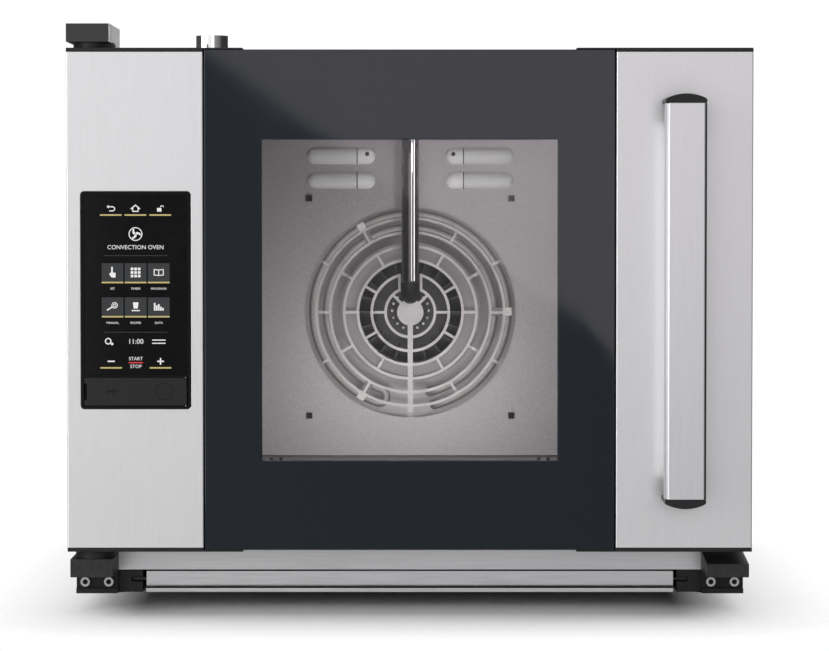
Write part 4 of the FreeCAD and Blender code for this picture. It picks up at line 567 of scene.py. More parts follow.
def enamel(name, colour):
    """Dark enamel with lighter flecks, seen through the outer pane's polished face."""
    material, tree = new_finish(name)
    fleck = tuple(FLECK_SHADE * part for part in colour)
    shade(tree, Base_Color=shade_between(tree, grain(tree, ENAMEL_FLECKS), colour, fleck),
          Roughness=spread(tree, grain(tree, ENAMEL_SMEARS), *ENAMEL_ROUGHNESS))
    return material


def lit(name, colour, strength):
    """A sign or a lamp with its own light, fine as the screen's dots."""
    material, tree = new_finish(name)
    dim = tuple(DIM_SHADE * part for part in colour)
    shade(tree, Base_Color=shade_between(tree, grain(tree, SCREEN_DOTS, 1.0), dim, colour), Roughness=0.4,
          Emission_Color=(*colour, 1.0), Emission_Strength=strength)
    return material


def finish_of(slot):
    """The finish made for a material slot."""
    return bpy.data.materials[slot + "_finish"]


def smooth(mesh):
    """Smooth shading that keeps sharp edges sharp."""
    for face in mesh.polygons:
        face.use_smooth = True
    mesh.set_sharp_from_angle(angle=SHARP)


def weigh_normals(mesh):
    """Shade by the larger faces, so that flat faces stay flat beside their broken edges."""
    normals = [Vector() for _ in mesh.vertices]
    for face in mesh.polygons:
        face.use_smooth = True
        for corner in face.vertices:
            normals[corner] += face.normal * face.area
    mesh.normals_split_custom_set_from_vertices([normal.normalized() for normal in normals])


def break_edges(shape, width):
    """Round off the edges at which two faces meet at a clear angle."""
    sharp = [edge for edge in shape.edges if len(edge.link_faces) == 2 and edge.calc_face_angle() > SHARP]
    bmesh.ops.bevel(shape, geom=sharp, offset=width, offset_type="OFFSET", segments=2, profile=0.5,
                    clamp_overlap=True, affect="EDGES")


def formed(name, shape, material=None):
    """An object with a shape's mesh."""
    mesh = bpy.data.meshes.new(name)
    shape.to_mesh(mesh)
    shape.free()
    if material:
        mesh.materials.append(material)
    return link(bpy.data.objects.new(name, mesh))


def softened(node, width):
    """A copy of a CAD piece with its sharp edges broken."""
    mesh = NODES[node].data.copy()
    if "custom_normal" in mesh.attributes:
        mesh.attributes.remove(mesh.attributes["custom_normal"])
    shape = bmesh.new()
    shape.from_mesh(mesh)
    bmesh.ops.remove_doubles(shape, verts=shape.verts, dist=SAME_CORNER)
    bmesh.ops.dissolve_limit(shape, angle_limit=FLAT, verts=shape.verts, edges=shape.edges)
    break_edges(shape, width)
    shape.to_mesh(mesh)
    shape.free()
    weigh_normals(mesh)
    return link(bpy.data.objects.new(node + "_edged", mesh))


def slab(name, box, material, hole=None, edge=0.0):
    """An upright plate between two corners, with a rectangular hole or without, and a ground edge."""
    shape = bmesh.new()
    rims = [((low.x, low.z), (high.x, low.z), (high.x, high.z), (low.x, high.z))
            for low, high in ((box, hole) if hole else (box,))]
    front, back = ([[shape.verts.new((x, corner.y, z)) for x, z in rim] for rim in rims] for corner in box)
    for step in range(4):
        after = (step + 1) % 4
        for near, far in zip(front, back):
            shape.faces.new((near[step], near[after], far[after], far[step]))
        if hole:
            for outer, inner in (front, back):
                shape.faces.new((outer[step], outer[after], inner[after], inner[step]))
    if not hole:
        shape.faces.new(front[0])
        shape.faces.new(back[0])
    bmesh.ops.recalc_face_normals(shape, faces=shape.faces)
    if edge:
        break_edges(shape, edge)
    plate = formed(name, shape, material)
    if edge:
        weigh_normals(plate.data)
    return plate


def worked_out(piece):
    """The plain mesh of a piece whose modifiers or lettering are worked out."""
    bpy.context.view_layer.update()
    return bpy.data.meshes.new_from_object(piece.evaluated_get(bpy.context.evaluated_depsgraph_get()))


class Marks:
    """Thin signs on an upright face, drawn in millimetres right of a spot and below it."""

    def __init__(self, middle, top, face, rise):
        self.middle, self.top, self.face, self.rise = middle, top, face, rise
        self.spot = (0.0, 0.0)
        self.shape = bmesh.new()

    def at(self, across, down):
        """Choose the spot, right of the face's middle and below its top."""
        self.spot = (across, down)
        return self

    def place(self, across, down):
        """A point on the signs' front."""
        return Vector((self.middle + (self.spot[0] + across) * MM, self.face - self.rise,
                       self.top - (self.spot[1] + down) * MM))

    def plate(self, corners):
        """A flat sign with these corners."""
        self.shape.faces.new([self.shape.verts.new(self.place(*corner)) for corner in corners])

    def bar(self, width, height, across=0.0, down=0.0):
        """A rectangle about a point."""
        left, right, up, low = across - width / 2, across + width / 2, down - height / 2, down + height / 2
        self.plate([(left, up), (right, up), (right, low), (left, low)])

    def stroke(self, points, width):
        """A line of some width through points."""
        for first, last in zip(points, points[1:]):
            run = Vector(last) - Vector(first)
            along = run.normalized() * (width / 2)
            aside = Vector((-along.y, along.x))
            start, end = Vector(first) - along, Vector(last) + along
            self.plate([start + aside, end + aside, end - aside, start - aside])

    def arc(self, radius, width, across=0.0, down=0.0, turns=(0, 360), steps=24):
        """Part of a ring; its turns in degrees run clockwise from the right."""
        start, stop = turns
        angles = [math.radians(start + (stop - start) * step / steps) for step in range(steps + 1)]
        outer, inner = radius + width / 2, radius - width / 2
        for first, last in zip(angles, angles[1:]):
            self.plate([(across + reach * math.cos(angle), down + reach * math.sin(angle))
                        for reach, angle in ((outer, first), (outer, last), (inner, last), (inner, first))])

    def disc(self, radius, across=0.0, down=0.0, steps=20):
        """A filled circle."""
        angles = [2 * math.pi * step / steps for step in range(steps)]
        self.plate([(across + radius * math.cos(angle), down + radius * math.sin(angle))
                    for angle in angles])

    def words(self, text, height):
        """Plain lettering about the spot, with capitals of some height."""
        curve = bpy.data.curves.new("lettering", "FONT")
        curve.body = text
        curve.size = height * SIZE_OF_CAPITAL * MM
        curve.align_x = "CENTER"
        curve.align_y = "CENTER"
        curve.resolution_u = 3
        carrier = link(bpy.data.objects.new("lettering", curve))
        mesh = worked_out(carrier)
        mesh.transform(Matrix.Translation(self.place(0.0, 0.0)) @ Matrix.Rotation(math.pi / 2, 4, "X"))
        self.shape.from_mesh(mesh)
        bpy.data.objects.remove(carrier)
        bpy.data.meshes.remove(mesh)
        bpy.data.curves.remove(curve)

    def piece(self, name, material):
        """The signs as one object, each with a thin edge."""
        shape = self.shape
        bmesh.ops.remove_doubles(shape, verts=shape.verts, dist=SAME_SIGN_CORNER)
        for face in shape.faces:
            if face.normal.y > 0:
                face.normal_flip()
        made = bmesh.ops.extrude_face_region(shape, geom=list(shape.faces), use_keep_orig=True)
        back = [item for item in made["geom"] if isinstance(item, bmesh.types.BMVert)]
        bmesh.ops.translate(shape, verts=back, vec=(0, self.rise, 0))
        bmesh.ops.recalc_face_normals(shape, faces=shape.faces)
        return formed(name, shape, material)


class Rule:
    """A geometry tree with named inputs, which makes one plain mesh."""

    KINDS = {int: "NodeSocketInt", float: "NodeSocketFloat", Vector: "NodeSocketVector",
             bpy.types.Material: "NodeSocketMaterial"}

    def __init__(self, name, **inputs):
        self.name, self.inputs = name, inputs
        self.tree = bpy.data.node_groups.new(name, "GeometryNodeTree")
        self.sockets = {word: self.tree.interface.new_socket(name=word, in_out="INPUT",
                                                             socket_type=self.KINDS[type(value)])
                        for word, value in inputs.items()}
        self.tree.interface.new_socket(name="Geometry", in_out="OUTPUT", socket_type="NodeSocketGeometry")
        self.given = self.tree.nodes.new("NodeGroupInput").outputs

    def add(self, kind, **named):
        """A node of the tree."""
        return add_node(self.tree, kind, **named)

    def piece(self, geometry):
        """Realize a node's geometry, set its material and turn it into a plain mesh."""
        solid = self.add("GeometryNodeRealizeInstances", Geometry=geometry)
        painted = self.add("GeometryNodeSetMaterial", Geometry=solid.outputs["Geometry"],
                           Material=self.given["Material"])
        self.add("NodeGroupOutput", Geometry=painted.outputs["Geometry"])
        holder = link(bpy.data.objects.new(self.name + "_rule", bpy.data.meshes.new(self.name + "_rule")))
        modifier = holder.modifiers.new(self.name, "NODES")
        modifier.node_group = self.tree
        for word, socket in self.sockets.items():
            modifier[socket.identifier] = self.inputs[word]
        mesh = worked_out(holder)
        bpy.data.objects.remove(holder)
        mesh.name = self.name
        smooth(mesh)
        return link(bpy.data.objects.new(self.name, mesh))


def strung(rule, points):
    """Equal domed beads on a rule's points, flattened from front to back."""
    bead = rule.add("GeometryNodeMeshUVSphere", Segments=12, Rings=8, Radius=rule.given["Bead"])
    each = rule.add("GeometryNodeInstanceOnPoints", Points=points, Instance=bead.outputs["Mesh"],
                    Scale=rule.given["Flat"])
    return rule.piece(each.outputs["Instances"])


def bead_row(name, count, start, step, bead, dome, material):
    """A straight row of beads."""
    rule = Rule(name, Count=count, Start=Vector(start), Step=Vector(step), Bead=bead,
                Flat=Vector((1, dome, 1)), Material=material)
    row = rule.add("GeometryNodeMeshLine", Count=rule.given["Count"], Start_Location=rule.given["Start"],
                   Offset=rule.given["Step"])
    return strung(rule, row.outputs["Mesh"])


def bead_ring(name, count, middle, ring, bead, dome, material):
    """Beads in an upright ring about a point."""
    rule = Rule(name, Count=count, Middle=middle, Ring=ring, Bead=bead, Flat=Vector((1, dome, 1)),
                Material=material)
    circle = rule.add("GeometryNodeMeshCircle", Vertices=rule.given["Count"], Radius=rule.given["Ring"])
    stand = rule.add("GeometryNodeTransform", Geometry=circle.outputs["Mesh"],
                     Translation=rule.given["Middle"], Rotation=TURNED_UPRIGHT)
    return strung(rule, stand.outputs["Geometry"])


def bulb_seal(name, width, height, corner, bulb, sides, place, material):
    """A round seal that follows an upright rectangle with rounded corners."""
    rule = Rule(name, Width=width, Height=height, Corner=corner, Bulb=bulb, Sides=sides, Place=place,
                Material=material)
    path = rule.add("GeometryNodeCurvePrimitiveQuadrilateral", Width=rule.given["Width"],
                    Height=rule.given["Height"])
    rounded = rule.add("GeometryNodeFilletCurve", mode="POLY", Curve=path.outputs["Curve"], Count=8,
                       Radius=rule.given["Corner"])
    stand = rule.add("GeometryNodeTransform", Geometry=rounded.outputs["Curve"],
                     Translation=rule.given["Place"], Rotation=TURNED_UPRIGHT)
    ring = rule.add("GeometryNodeCurvePrimitiveCircle", Resolution=rule.given["Sides"],
                    Radius=rule.given["Bulb"])
    swept = rule.add("GeometryNodeCurveToMesh", Curve=stand.outputs["Geometry"],
                     Profile_Curve=ring.outputs["Curve"])
    return rule.piece(swept.outputs["Mesh"])


def half_pill(name, axis, radius, run, ends):
    """A run of the front half of a round bar along x with domed ends."""
    shape = bmesh.new()
    around, along = 14, 18
    tip = 0.02 * radius
    turns = [math.pi * step / around for step in range(around + 1)]
    rings = []
    for step in range(along + 1):
        x = run[0] + (run[1] - run[0]) * (1 - math.cos(math.pi * step / along)) / 2
        inset = max(ends[0] + radius - x, x - ends[1] + radius, 0.0)
        reach = math.sqrt(max(radius ** 2 - inset ** 2, tip ** 2))
        rings.append([shape.verts.new((x, axis - reach * math.sin(turn), reach * math.cos(turn)))
                      for turn in turns])
    for ring, after in zip(rings, rings[1:]):
        for step in range(around):
            shape.faces.new((ring[step], ring[step + 1], after[step + 1], after[step]))
        shape.faces.new((ring[0], after[0], after[-1], ring[-1]))
    shape.faces.new(rings[0])
    shape.faces.new(rings[-1])
    bmesh.ops.recalc_face_normals(shape, faces=shape.faces)
    return formed(name, shape)


def four_louvres(name, part, row, pitch, material):
    """A louvre repeated on both sides of the guard and in two rows."""
    rule = Rule(name, Start=Vector((0, 0, row)), Step=Vector((0, 0, -pitch)), Material=material)
    source = rule.add("GeometryNodeObjectInfo", Object=part)
    rows = rule.add("GeometryNodeMeshLine", Count=2, Start_Location=rule.given["Start"],
                    Offset=rule.given["Step"])
    each = rule.add("GeometryNodeInstanceOnPoints", Points=rows.outputs["Mesh"],
                    Instance=source.outputs["Geometry"])
    right = rule.add("GeometryNodeRealizeInstances", Geometry=each.outputs["Instances"])
    mirrored = rule.add("GeometryNodeTransform", Geometry=right.outputs["Geometry"], Scale=(-1, 1, 1))
    left = rule.add("GeometryNodeFlipFaces", Mesh=mirrored.outputs["Geometry"])
    both = rule.add("GeometryNodeJoinGeometry", Geometry=right.outputs["Geometry"])
    feed(rule.tree, both.inputs["Geometry"], left.outputs["Mesh"])
    return rule.piece(both.outputs["Geometry"])


class OVEN_OT_finishes(bpy.types.Operator):
    """Give every CAD piece the finish of its material slot, and break the sharp edges that show"""

    bl_idname = "oven.finishes"
    bl_label = "Finishes"

    def execute(self, context):
        colours = context.scene.oven.colours
        for slot, finish in FINISHES.items():
            worked(slot + "_finish", finish)
        for name, zones in ZONED.items():
            zoned(name + "_finish", zones)
        clear_glass("outer_pane_finish", colours.pane, colours.outer_haze)
        clear_glass("inner_pane_finish", colours.pane, colours.inner_haze)
        enamel("enamel_finish", colours.enamel)
        lit("lamp_lens_finish", colours.lamp, LENS_LIGHT)
        slots = {}
        for name, node in NODES.items():
            slots[name] = node.data.materials[0].name
            own = name if name in ZONED else OWN_FINISHES.get(name, slots[name])
            node.data.materials[0] = finish_of(own)
        for name, width in SOFT_EDGES.items():
            fit(softened(name, width * MM), NODES[name]["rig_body"], slots[name], name)
        return {"FINISHED"}


class OVEN_OT_door_glass(bpy.types.Operator):
    """Outer pane with its enamel band and clear window"""

    bl_idname = "oven.door_glass"
    bl_label = "Door glass"

    def execute(self, context):
        sizes = context.scene.oven.sizes
        low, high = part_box("outer_glass")
        inset = Vector((sizes.glass_side, 0, sizes.glass_end))
        window = (low + inset, high - inset)
        band = slab("glass_band", (low, high), finish_of("enamel"), window, sizes.glass_edge)
        fit(band, "door", "outer_pane", "outer_glass")
        fit(slab("glass_window", window, finish_of("outer_pane")), "door", "outer_pane")
        return {"FINISHED"}


class OVEN_OT_door_lamps(bpy.types.Operator):
    """Rows of lamp beads in the lenses beside the window"""

    bl_idname = "oven.door_lamps"
    bl_label = "Door lamps"

    def execute(self, context):
        sizes = context.scene.oven.sizes
        low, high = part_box("door_lamps")
        glow = lit("lamp_bead_finish", context.scene.oven.colours.lamp, BEAD_LIGHT)
        count = int((high.z - low.z) / sizes.led_pitch)
        first = (low.z + high.z - (count - 1) * sizes.led_pitch) / 2
        for side, across in (("left", low.x + sizes.led_inset), ("right", high.x - sizes.led_inset)):
            beads = bead_row("lamp_beads_" + side, count, (across, high.y, first), (0, 0, sizes.led_pitch),
                             sizes.led_radius, DOMES["lamp_bead"], glow)
            fit(beads, "door", "lamp_lens")
        return {"FINISHED"}


class OVEN_OT_door_seal(bpy.types.Operator):
    """Round seal about the cavity's mouth"""

    bl_idname = "oven.door_seal"
    bl_label = "Door seal"

    def execute(self, context):
        sizes = context.scene.oven.sizes
        low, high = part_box("door_gasket")
        bulb = (high.y - low.y) / 2
        seal = bulb_seal("door_seal", high.x - low.x - 2 * bulb, high.z - low.z - 2 * bulb,
                         sizes.seal_corner, bulb, sizes.seal_sides, (low + high) / 2,
                         finish_of("seal_rubber"))
        fit(seal, "oven_body", "seal_rubber", "door_gasket")
        return {"FINISHED"}


class OVEN_OT_louvres(bpy.types.Operator):
    """Domed louvres of the fan guard, painted pale as a painted sheen with the cap lighter as a painted
    highlight, each split near its inner end over a near black core as painted shade, and dark dots as
    painted shade for their screw holes
    """

    bl_idname = "oven.louvres"
    bl_label = "Louvres"

    def execute(self, context):
        sizes = context.scene.oven.sizes
        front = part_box("fan_guard")[0].y
        shell = sizes.louvre_radius
        core = shell - sizes.louvre_wall
        inner, split, outer = sizes.louvre_inner, sizes.louvre_split, sizes.louvre_outer
        gap, middle = sizes.louvre_gap / 2, sizes.louvre_core / 2
        # The near black core in each louvre's split is painted shade in the gap.
        for name, radius, run, finish in (
                ("louvre_cap", shell, (inner, split - gap), "louvre_cap"),
                ("louvre_hood", shell, (split + gap, outer), "louvre_hood"),
                ("louvre_core", core, (split - middle, split + middle), "guard_post")):
            part = half_pill(name, front + core, radius, run, (inner, outer))
            rows = four_louvres(name + "s", part, sizes.louvre_row, sizes.louvre_pitch, finish_of(finish))
            bpy.data.objects.remove(part)
            fit(rows, "oven_body", "cavity_steel")
        # Dark dots on the louvres: painted shade for their screw holes.
        reach = inner + shell
        start = (-reach, front, sizes.louvre_row + sizes.louvre_screw_rise)
        screws = bead_row("louvre_screws", 2, start, (2 * reach, 0, 0), sizes.louvre_screw,
                          DOMES["louvre_screw"], finish_of("guard_post"))
        fit(screws, "oven_body", "screw_steel")
        return {"FINISHED"}


class OVEN_OT_fan_rivets(bpy.types.Operator):
    """Ring of rivets that hold the fan's plate to its hub"""

    bl_idname = "oven.fan_rivets"
    bl_label = "Fan rivets"

    def execute(self, context):
        sizes = context.scene.oven.sizes
        middle = middle_of("fan_wheel")
        middle.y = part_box("fan_wheel")[1].y - sizes.fan_plate
        rivets = bead_ring("fan_rivets", sizes.rivet_count, middle, sizes.rivet_ring, sizes.rivet_radius,
                           DOMES["rivet"], finish_of("rivet_head"))
        fit(rivets, "convection_fan", "fan_steel")
        return {"FINISHED"}


class OVEN_OT_small_parts(bpy.types.Operator):
    """Dark discs as painted shade in the screw sockets, a dark line as painted shade in the drip tray's
    fold, and the faint marks on the service flap
    """

    bl_idname = "oven.small_parts"
    bl_label = "Small parts"

    def execute(self, context):
        sizes = context.scene.oven.sizes
        low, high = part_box("hinge_screws")
        height = low.z + sizes.screw_head
        outermost = high.x - sizes.screw_head
        # Dark discs sunk into the hinge screws' sockets: painted shade in the recesses.
        for side, start in (("left", -outermost), ("right", outermost - sizes.screw_pitch)):
            row = bead_row(side + "_screw_sockets", 2, (start, low.y + sizes.socket_sink, height),
                           (sizes.screw_pitch, 0, 0), sizes.socket_radius, DOMES["socket"],
                           finish_of("guard_post"))
            fit(row, "oven_body", "screw_steel")
        # A near black line across the drip tray's front: painted shade in its fold.
        fold = Marks(0.0, sizes.fold_height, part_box("drip_tray")[0].y, sizes.mark_rise)
        fold.bar(2 * (ZONED["drip_tray"].limit - sizes.fold_margin) / MM, sizes.fold_width / MM)
        fit(fold.piece("tray_fold", finish_of("guard_post")), "drip_tray", "steel_sheet")
        marks = Marks(middle_of("touch_housing").x, middle_of("service_flap").z,
                      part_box("service_flap")[0].y, sizes.mark_rise)
        draw_flap_marks(marks)
        fit(marks.piece("flap_marks", finish_of("flap_mark")), "service_flap", "black_plastic")
        return {"FINISHED"}


def draw_flap_marks(marks):
    """A branching port sign at the left and a ring at the right."""
    marks.disc(1.3, -24.0)
    marks.stroke([(-23.5, 0.0), (-15.0, 0.0)], 0.7)
    marks.stroke([(-21.5, 0.0), (-19.5, -2.0), (-17.5, -2.0)], 0.6)
    marks.stroke([(-20.5, 0.0), (-18.8, 2.0), (-17.0, 2.0)], 0.6)
    marks.arc(7.4, 0.6, 25.0)


class OVEN_OT_display(bpy.types.Operator):
    """Signs of the touch display: keys, tiles and clock"""

    bl_idname = "oven.display"
    bl_label = "Display"

    def execute(self, context):
        sizes, colours = context.scene.oven.sizes, context.scene.oven.colours
        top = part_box("touch_housing")[1].z
        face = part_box("touch_screen")[0].y
        sheets = {word: Marks(middle_of("touch_housing").x, top, face, sizes.mark_rise * layer)
                  for word, layer in (("tiles", 1), ("lines", 1), ("signs", 2), ("stop", 1))}
        draw_keys(sheets, sizes)
        draw_tiles(sheets, sizes)
        draw_clock(sheets["signs"])
        shades = {"tiles": colours.tile, "lines": colours.accent, "signs": colours.mark,
                  "stop": colours.stop}
        for word, sheet in sheets.items():
            finish = lit(f"display_{word}_finish", shades[word], DISPLAY_LIGHT[word])
            fit(sheet.piece("display_" + word, finish), "door", "screen_glass")
        return {"FINISHED"}


def draw_keys(sheets, sizes):
    """Three keys with lines at the display's top, and less, start and stop, and more at its foot."""
    lines, signs, stop = sheets["lines"], sheets["signs"], sheets["stop"]
    line = (sizes.line_width / MM, sizes.line_height / MM)
    keys = [column * sizes.key_pitch / MM for column in (-1, 0, 1)]
    for across, draw in zip(keys, (draw_back_arrow, draw_house, draw_padlock)):
        lines.at(across, ROWS["key_lines"]).bar(*line)
        draw(signs.at(across, ROWS["keys"]))
    less, middle, more = keys
    for across in (less, more):
        lines.at(across, ROWS["foot_lines"]).bar(*line)
    signs.at(less, ROWS["less_more"]).bar(6.2, 1.2)
    signs.at(more, ROWS["less_more"]).bar(5.8, 1.2)
    signs.bar(1.2, 5.8)
    signs.at(middle, ROWS["start"]).words("START", CAPITALS["key"])
    signs.at(middle, ROWS["stop"]).words("STOP", CAPITALS["key"])
    stop.at(middle, ROWS["stop_line"]).bar(12.5, 1.0)


def draw_tiles(sheets, sizes):
    """The title under its fan, and two rows of tiles between thin rules."""
    tiles, lines, signs = sheets["tiles"], sheets["lines"], sheets["signs"]
    draw_fan(signs.at(0.0, ROWS["fan"]))
    signs.at(0.0, ROWS["title"]).words("CONVECTION OVEN", CAPITALS["title"])
    for down in ROWS["rules"]:
        tiles.at(0.0, down).bar(56.0, 0.6)
    width, height, line = sizes.tile_width / MM, sizes.tile_height / MM, sizes.line_height / MM
    drawings = (((draw_hand, "SET"), (draw_grid, "TIMERS"), (draw_book, "PROGRAMS")),
                ((draw_whisk, "MANUAL"), (draw_cup, "RECIPES"), (draw_chart, "DATA")))
    for down, row in zip(ROWS["tiles"], drawings):
        for column, (draw, label) in zip((-1, 0, 1), row):
            across = column * sizes.tile_pitch / MM
            tiles.at(across, down).bar(width, height)
            lines.at(across, down + (height + line) / 2).bar(width, line)
            draw(signs.at(across, down))
            signs.at(across, down + LABEL_DROP).words(label, CAPITALS["label"])


def draw_clock(signs):
    """The clock between a gear and two short lines."""
    draw_gear(signs.at(-23.3, ROWS["clock"]))
    signs.at(0.0, ROWS["clock"]).words("11:00", CAPITALS["clock"])
    for down in (-1.4, 1.4):
        signs.at(20.2, ROWS["clock"]).bar(11.8, 0.9, down=down)


def draw_back_arrow(signs):
    """An arrow that turns back."""
    signs.stroke([(-2.2, -1.6), (1.6, -1.6)], 0.9)
    signs.arc(1.8, 0.9, 1.6, 0.2, (-90, 90), 10)
    signs.stroke([(1.6, 2.0), (-0.8, 2.0)], 0.9)
    signs.plate([(-3.5, -1.6), (-1.8, -3.2), (-1.8, 0.0)])


def draw_house(signs):
    """The outline of a house."""
    signs.stroke([(-3.6, 0.0), (0.0, -3.0), (3.6, 0.0)], 1.0)
    signs.stroke([(-2.3, 0.0), (-2.3, 2.4), (2.3, 2.4), (2.3, 0.0)], 0.9)


def draw_padlock(signs):
    """An open padlock."""
    signs.bar(3.8, 3.2, -0.8, 1.0)
    signs.arc(1.3, 0.7, 1.6, -1.2, (-180, 0), 10)


def draw_fan(signs):
    """A three-bladed fan in a ring."""
    signs.arc(5.6, 0.8)
    for turn in (90, 210, 330):
        for step in range(5):
            angle = math.radians(turn + 9 * step)
            reach = 1.4 + 0.7 * step
            signs.disc(1.1 - 0.08 * step, reach * math.cos(angle), reach * math.sin(angle), 10)


def draw_hand(signs):
    """A pointing hand."""
    signs.stroke([(-0.4, -4.2), (-0.4, 1.0)], 1.4)
    signs.plate([(-1.2, -0.4), (2.8, 0.4), (2.6, 4.4), (-0.8, 4.4), (-3.0, 1.2), (-2.2, 0.6)])


def draw_grid(signs):
    """Nine small squares."""
    for column in (-3.1, 0.0, 3.1):
        for row in (-3.1, 0.0, 3.1):
            signs.bar(2.3, 2.3, column, row)


def draw_book(signs):
    """An open book."""
    for edge in (-4.0, 4.0):
        signs.stroke([(0.0, -2.2), (edge, -2.6), (edge, 2.2), (0.0, 2.6)], 0.8)
    signs.stroke([(0.0, -2.2), (0.0, 2.6)], 0.8)


def draw_whisk(signs):
    """A whisk lying on its side."""
    signs.stroke([(-4.4, 2.8), (-0.6, 0.4)], 1.2)
    signs.arc(2.4, 0.7, 1.8, -1.2)
    signs.arc(1.1, 0.6, 1.8, -1.2)


def draw_cup(signs):
    """A cup on a saucer."""
    signs.plate([(-2.4, -3.8), (2.4, -3.8), (1.8, 1.6), (-1.8, 1.6)])
    signs.bar(7.0, 1.0, 0.0, 3.4)


def draw_chart(signs):
    """A bar chart."""
    for step, height in enumerate((6.8, 4.6, 5.6, 3.4, 2.4)):
        signs.bar(1.4, height, 1.8 * (step - 2), 3.4 - height / 2)


def draw_gear(signs):
    """A gear with a dot beside it."""
    signs.arc(2.4, 1.0, -0.8, -0.4)
    signs.disc(1.1, 2.6, 2.0)


class OVEN_OT_stage(bpy.types.Operator):
    """Pale floor, soft lights and the camera"""

    bl_idname = "oven.stage"
    bl_label = "Stage"

    def execute(self, context):
        stage = context.scene.oven.stage
        make_floor()
        make_room(context.scene, stage)
        make_studio_lights()
        make_cavity_lights()
        make_mirror_card(stage)
        make_camera(context.scene, stage)
        return {"FINISHED"}


def make_floor():
    """A pale floor that fades out a little way from the oven."""
    material, tree = new_finish("floor_finish")
    low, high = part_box("door_pan")
    footprint = (high.x - FLOOR_INSET, FLOOR_AHEAD - low.y, 0)
    edge = tree.nodes.new("ShaderNodeTexCoord").outputs["Object"]
    for step, other in (("ABSOLUTE", ()), ("SUBTRACT", (footprint,)), ("MAXIMUM", ((0, 0, 0),))):
        edge = add_node(tree, "ShaderNodeVectorMath", edge, *other, operation=step).outputs["Vector"]
    away = add_node(tree, "ShaderNodeVectorMath", edge, operation="LENGTH").outputs["Value"]
    shade(tree, Base_Color=shade_between(tree, grain(tree, COARSE), *FLOOR_SHADES), Roughness=0.9,
          Specular_IOR_Level=0.0, Alpha=spread(tree, away, 1.0, 0.0, (0.0, FLOOR_FADE)))
    shape = bmesh.new()
    bmesh.ops.create_circle(shape, cap_ends=True, segments=96, radius=FLOOR_RADIUS)
    formed("floor", shape, material)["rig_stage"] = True


def make_room(scene, stage):
    """Light all round, brightest ahead and at the left, even above and below, and white to the camera."""
    world = bpy.data.worlds.new("room")
    scene.world = world
    world.use_nodes = True
    tree = world.node_tree
    place = tree.nodes.new("ShaderNodeTexCoord")
    parts = add_node(tree, "ShaderNodeSeparateXYZ", Vector=place.outputs["Generated"])
    depth = spread(tree, parts.outputs["Y"], stage.ahead, stage.behind, ROOM_DEPTH)
    side = spread(tree, parts.outputs["X"], stage.left, stage.right, ROOM_WIDTH)
    level = add_node(tree, "ShaderNodeMath", depth, side, operation="MULTIPLY")
    slope = add_node(tree, "ShaderNodeMath", parts.outputs["Z"], operation="ABSOLUTE")
    upward = spread(tree, slope.outputs["Value"], 0.0, 1.0, ROOM_SLOPE)
    around = blend(tree, upward, level.outputs["Value"], stage.dome)
    seen = tree.nodes.new("ShaderNodeLightPath").outputs["Is Camera Ray"]
    background = tree.nodes["Background"]
    feed(tree, background.inputs["Strength"], blend(tree, seen, around, stage.white))
    feed(tree, background.inputs["Color"], (1.0, 1.0, 1.0, 1.0))
    scene.view_settings.view_transform = "Standard"


def softbox(name, place, aim, size, power, tilt=0.0, beam=math.pi):
    """A rectangular light that faces a point, turned about its own axis, with a beam of some angle."""
    data = bpy.data.lights.new(name, "AREA")
    data.shape = "RECTANGLE"
    data.size, data.size_y = size
    data.energy = power
    data.spread = beam
    lamp = link(bpy.data.objects.new(name, data))
    facing = (Vector(aim) - Vector(place)).to_track_quat("-Z", "Y").to_matrix().to_4x4()
    lamp.matrix_world = Matrix.Translation(place) @ facing @ Matrix.Rotation(tilt, 4, "Z")
    lamp.visible_camera = False
    return lamp


def make_studio_lights():
    """Softboxes and cards about the oven, and a strip behind the handle."""
    low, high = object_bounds()
    for name, (place, aim, size, power) in STUDIO_LIGHTS.items():
        softbox(name, place, aim or (low + high) / 2, size, power)
    inward, ahead, size, power = HANDLE_STRIP
    place = Vector((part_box("handle_bar")[0].x + inward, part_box("right_fascia")[0].y - ahead,
                    middle_of("handle_bar").z))
    softbox("handle_strip", place, place + Vector(INTO_DEPTH), size, power)


def make_cavity_lights():
    """Strips that draw the tube's bright lines and wash the rear wall, and a panel behind the guard."""
    low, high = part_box("cavity_liner")
    depth = high.y - low.y
    tube = middle_of("water_tube")
    for name, (across, back, width, power) in TUBE_STRIPS.items():
        place = Vector((across * high.x, low.y + back * depth, tube.z))
        softbox(name, place, tube, (width, TUBE_STRIP_LENGTH), power, beam=TUBE_STRIP_BEAM)
    for name, (across, rise, aim, width, power) in WALL_STRIPS.items():
        base = low.z if rise > 0 else high.z
        place = (across * high.x, low.y + WALL_STRIP_DEPTH * depth, base + rise)
        softbox(name, place, (across * high.x, high.y, base + aim), (width, WALL_STRIP_HEIGHT), power,
                beam=WALL_STRIP_BEAM)
    gap, size, power = CHAMBER_PANEL
    chamber = middle_of("fan_wheel")
    chamber.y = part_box("fan_guard")[1].y + gap
    softbox("chamber_panel", chamber, chamber + Vector(INTO_DEPTH), size, power)


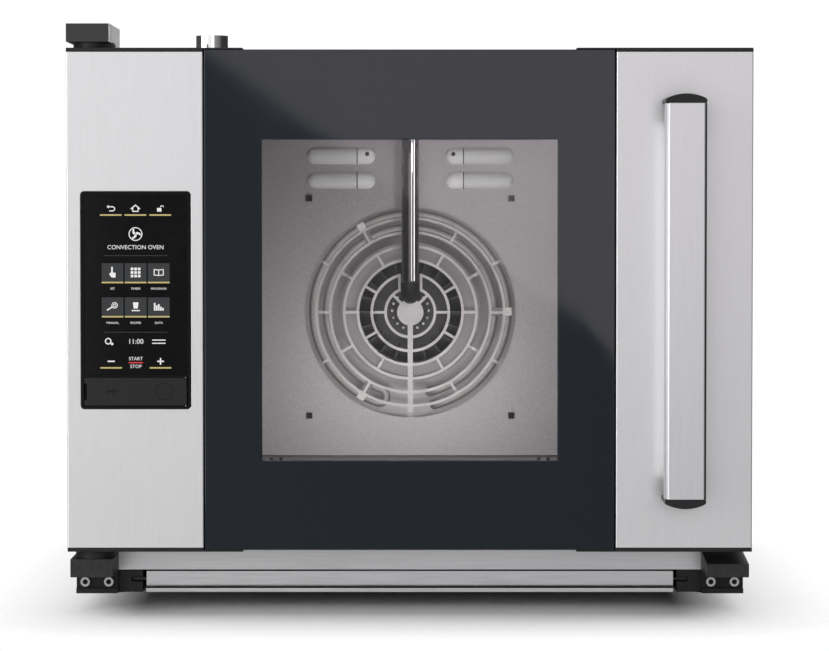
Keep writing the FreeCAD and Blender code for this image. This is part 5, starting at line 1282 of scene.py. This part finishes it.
def make_mirror_card(stage):
    """A card in front of the oven whose lower edge crosses the door glass's reflection at a slant."""
    low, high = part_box("outer_glass")
    eye = Vector((stage.side, low.y - stage.distance, stage.height))
    ends = []
    for x, z in ((low.x, high.z), (high.x, low.z + CARD_CROSSING)):
        aside = Vector((x - eye.x, 0, z - eye.z)) * CARD_DISTANCE
        ends.append(Vector((x, low.y - CARD_DISTANCE * stage.distance, z)) + aside)
    edge = ends[1] - ends[0]
    slant = math.atan2(edge.z, edge.x)
    upward = Vector((-math.sin(slant), 0, math.cos(slant)))
    width, height = CARD_SIZE
    place = (ends[0] + ends[1]) / 2 + upward * height / 2
    power = CARD_RADIANCE * math.pi * width * height
    card = softbox("mirror_card", place, place + Vector(INTO_DEPTH), CARD_SIZE, power, tilt=slant)
    card.data.color = CARD_TINT


def make_camera(scene, stage):
    """A long lens in front of the door, a little above its middle."""
    data = bpy.data.cameras.new("camera")
    data.sensor_fit = "HORIZONTAL"
    data.sensor_width = 36.0
    data.lens = stage.lens
    data.clip_end = 100.0
    camera = link(bpy.data.objects.new("camera", data))
    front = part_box("outer_glass")[0].y
    camera.location = (stage.side, front - stage.distance, stage.height)
    camera.rotation_euler = (math.pi / 2 - stage.tilt, 0, 0)
    scene.camera = camera


class OVEN_PT_panel(bpy.types.Panel):
    """The oven's steps in the sidebar"""

    bl_idname = "OVEN_PT_panel"
    bl_label = "Convection oven"
    bl_space_type = "VIEW_3D"
    bl_region_type = "UI"
    bl_category = "Oven"

    def draw(self, context):
        for step in STEPS:
            self.layout.operator(step.bl_idname)
        for group in (context.scene.oven.sizes, context.scene.oven.colours, context.scene.oven.stage):
            for name in group.__annotations__:
                self.layout.prop(group, name)


STEPS = (OVEN_OT_finishes, OVEN_OT_door_glass, OVEN_OT_door_lamps, OVEN_OT_door_seal, OVEN_OT_louvres,
         OVEN_OT_fan_rivets, OVEN_OT_small_parts, OVEN_OT_display, OVEN_OT_stage)
CLASSES = (OvenSizes, OvenColours, OvenStage, OvenSettings, *STEPS, OVEN_PT_panel)


def register():
    """Make the oven's classes and settings known."""
    for kind in CLASSES:
        bpy.utils.register_class(kind)
    bpy.types.Scene.oven = PointerProperty(type=OvenSettings)


def unregister():
    """Take the oven's classes and settings away."""
    del bpy.types.Scene.oven
    for kind in reversed(CLASSES):
        bpy.utils.unregister_class(kind)


def main():
    """Build the oven's looks."""
    register()
    for step in (bpy.ops.oven.finishes, bpy.ops.oven.door_glass, bpy.ops.oven.door_lamps,
                 bpy.ops.oven.door_seal, bpy.ops.oven.louvres, bpy.ops.oven.fan_rivets,
                 bpy.ops.oven.small_parts, bpy.ops.oven.display, bpy.ops.oven.stage):
        step()
    bpy.context.view_layer.update()


if __name__ == "__main__":
    main()
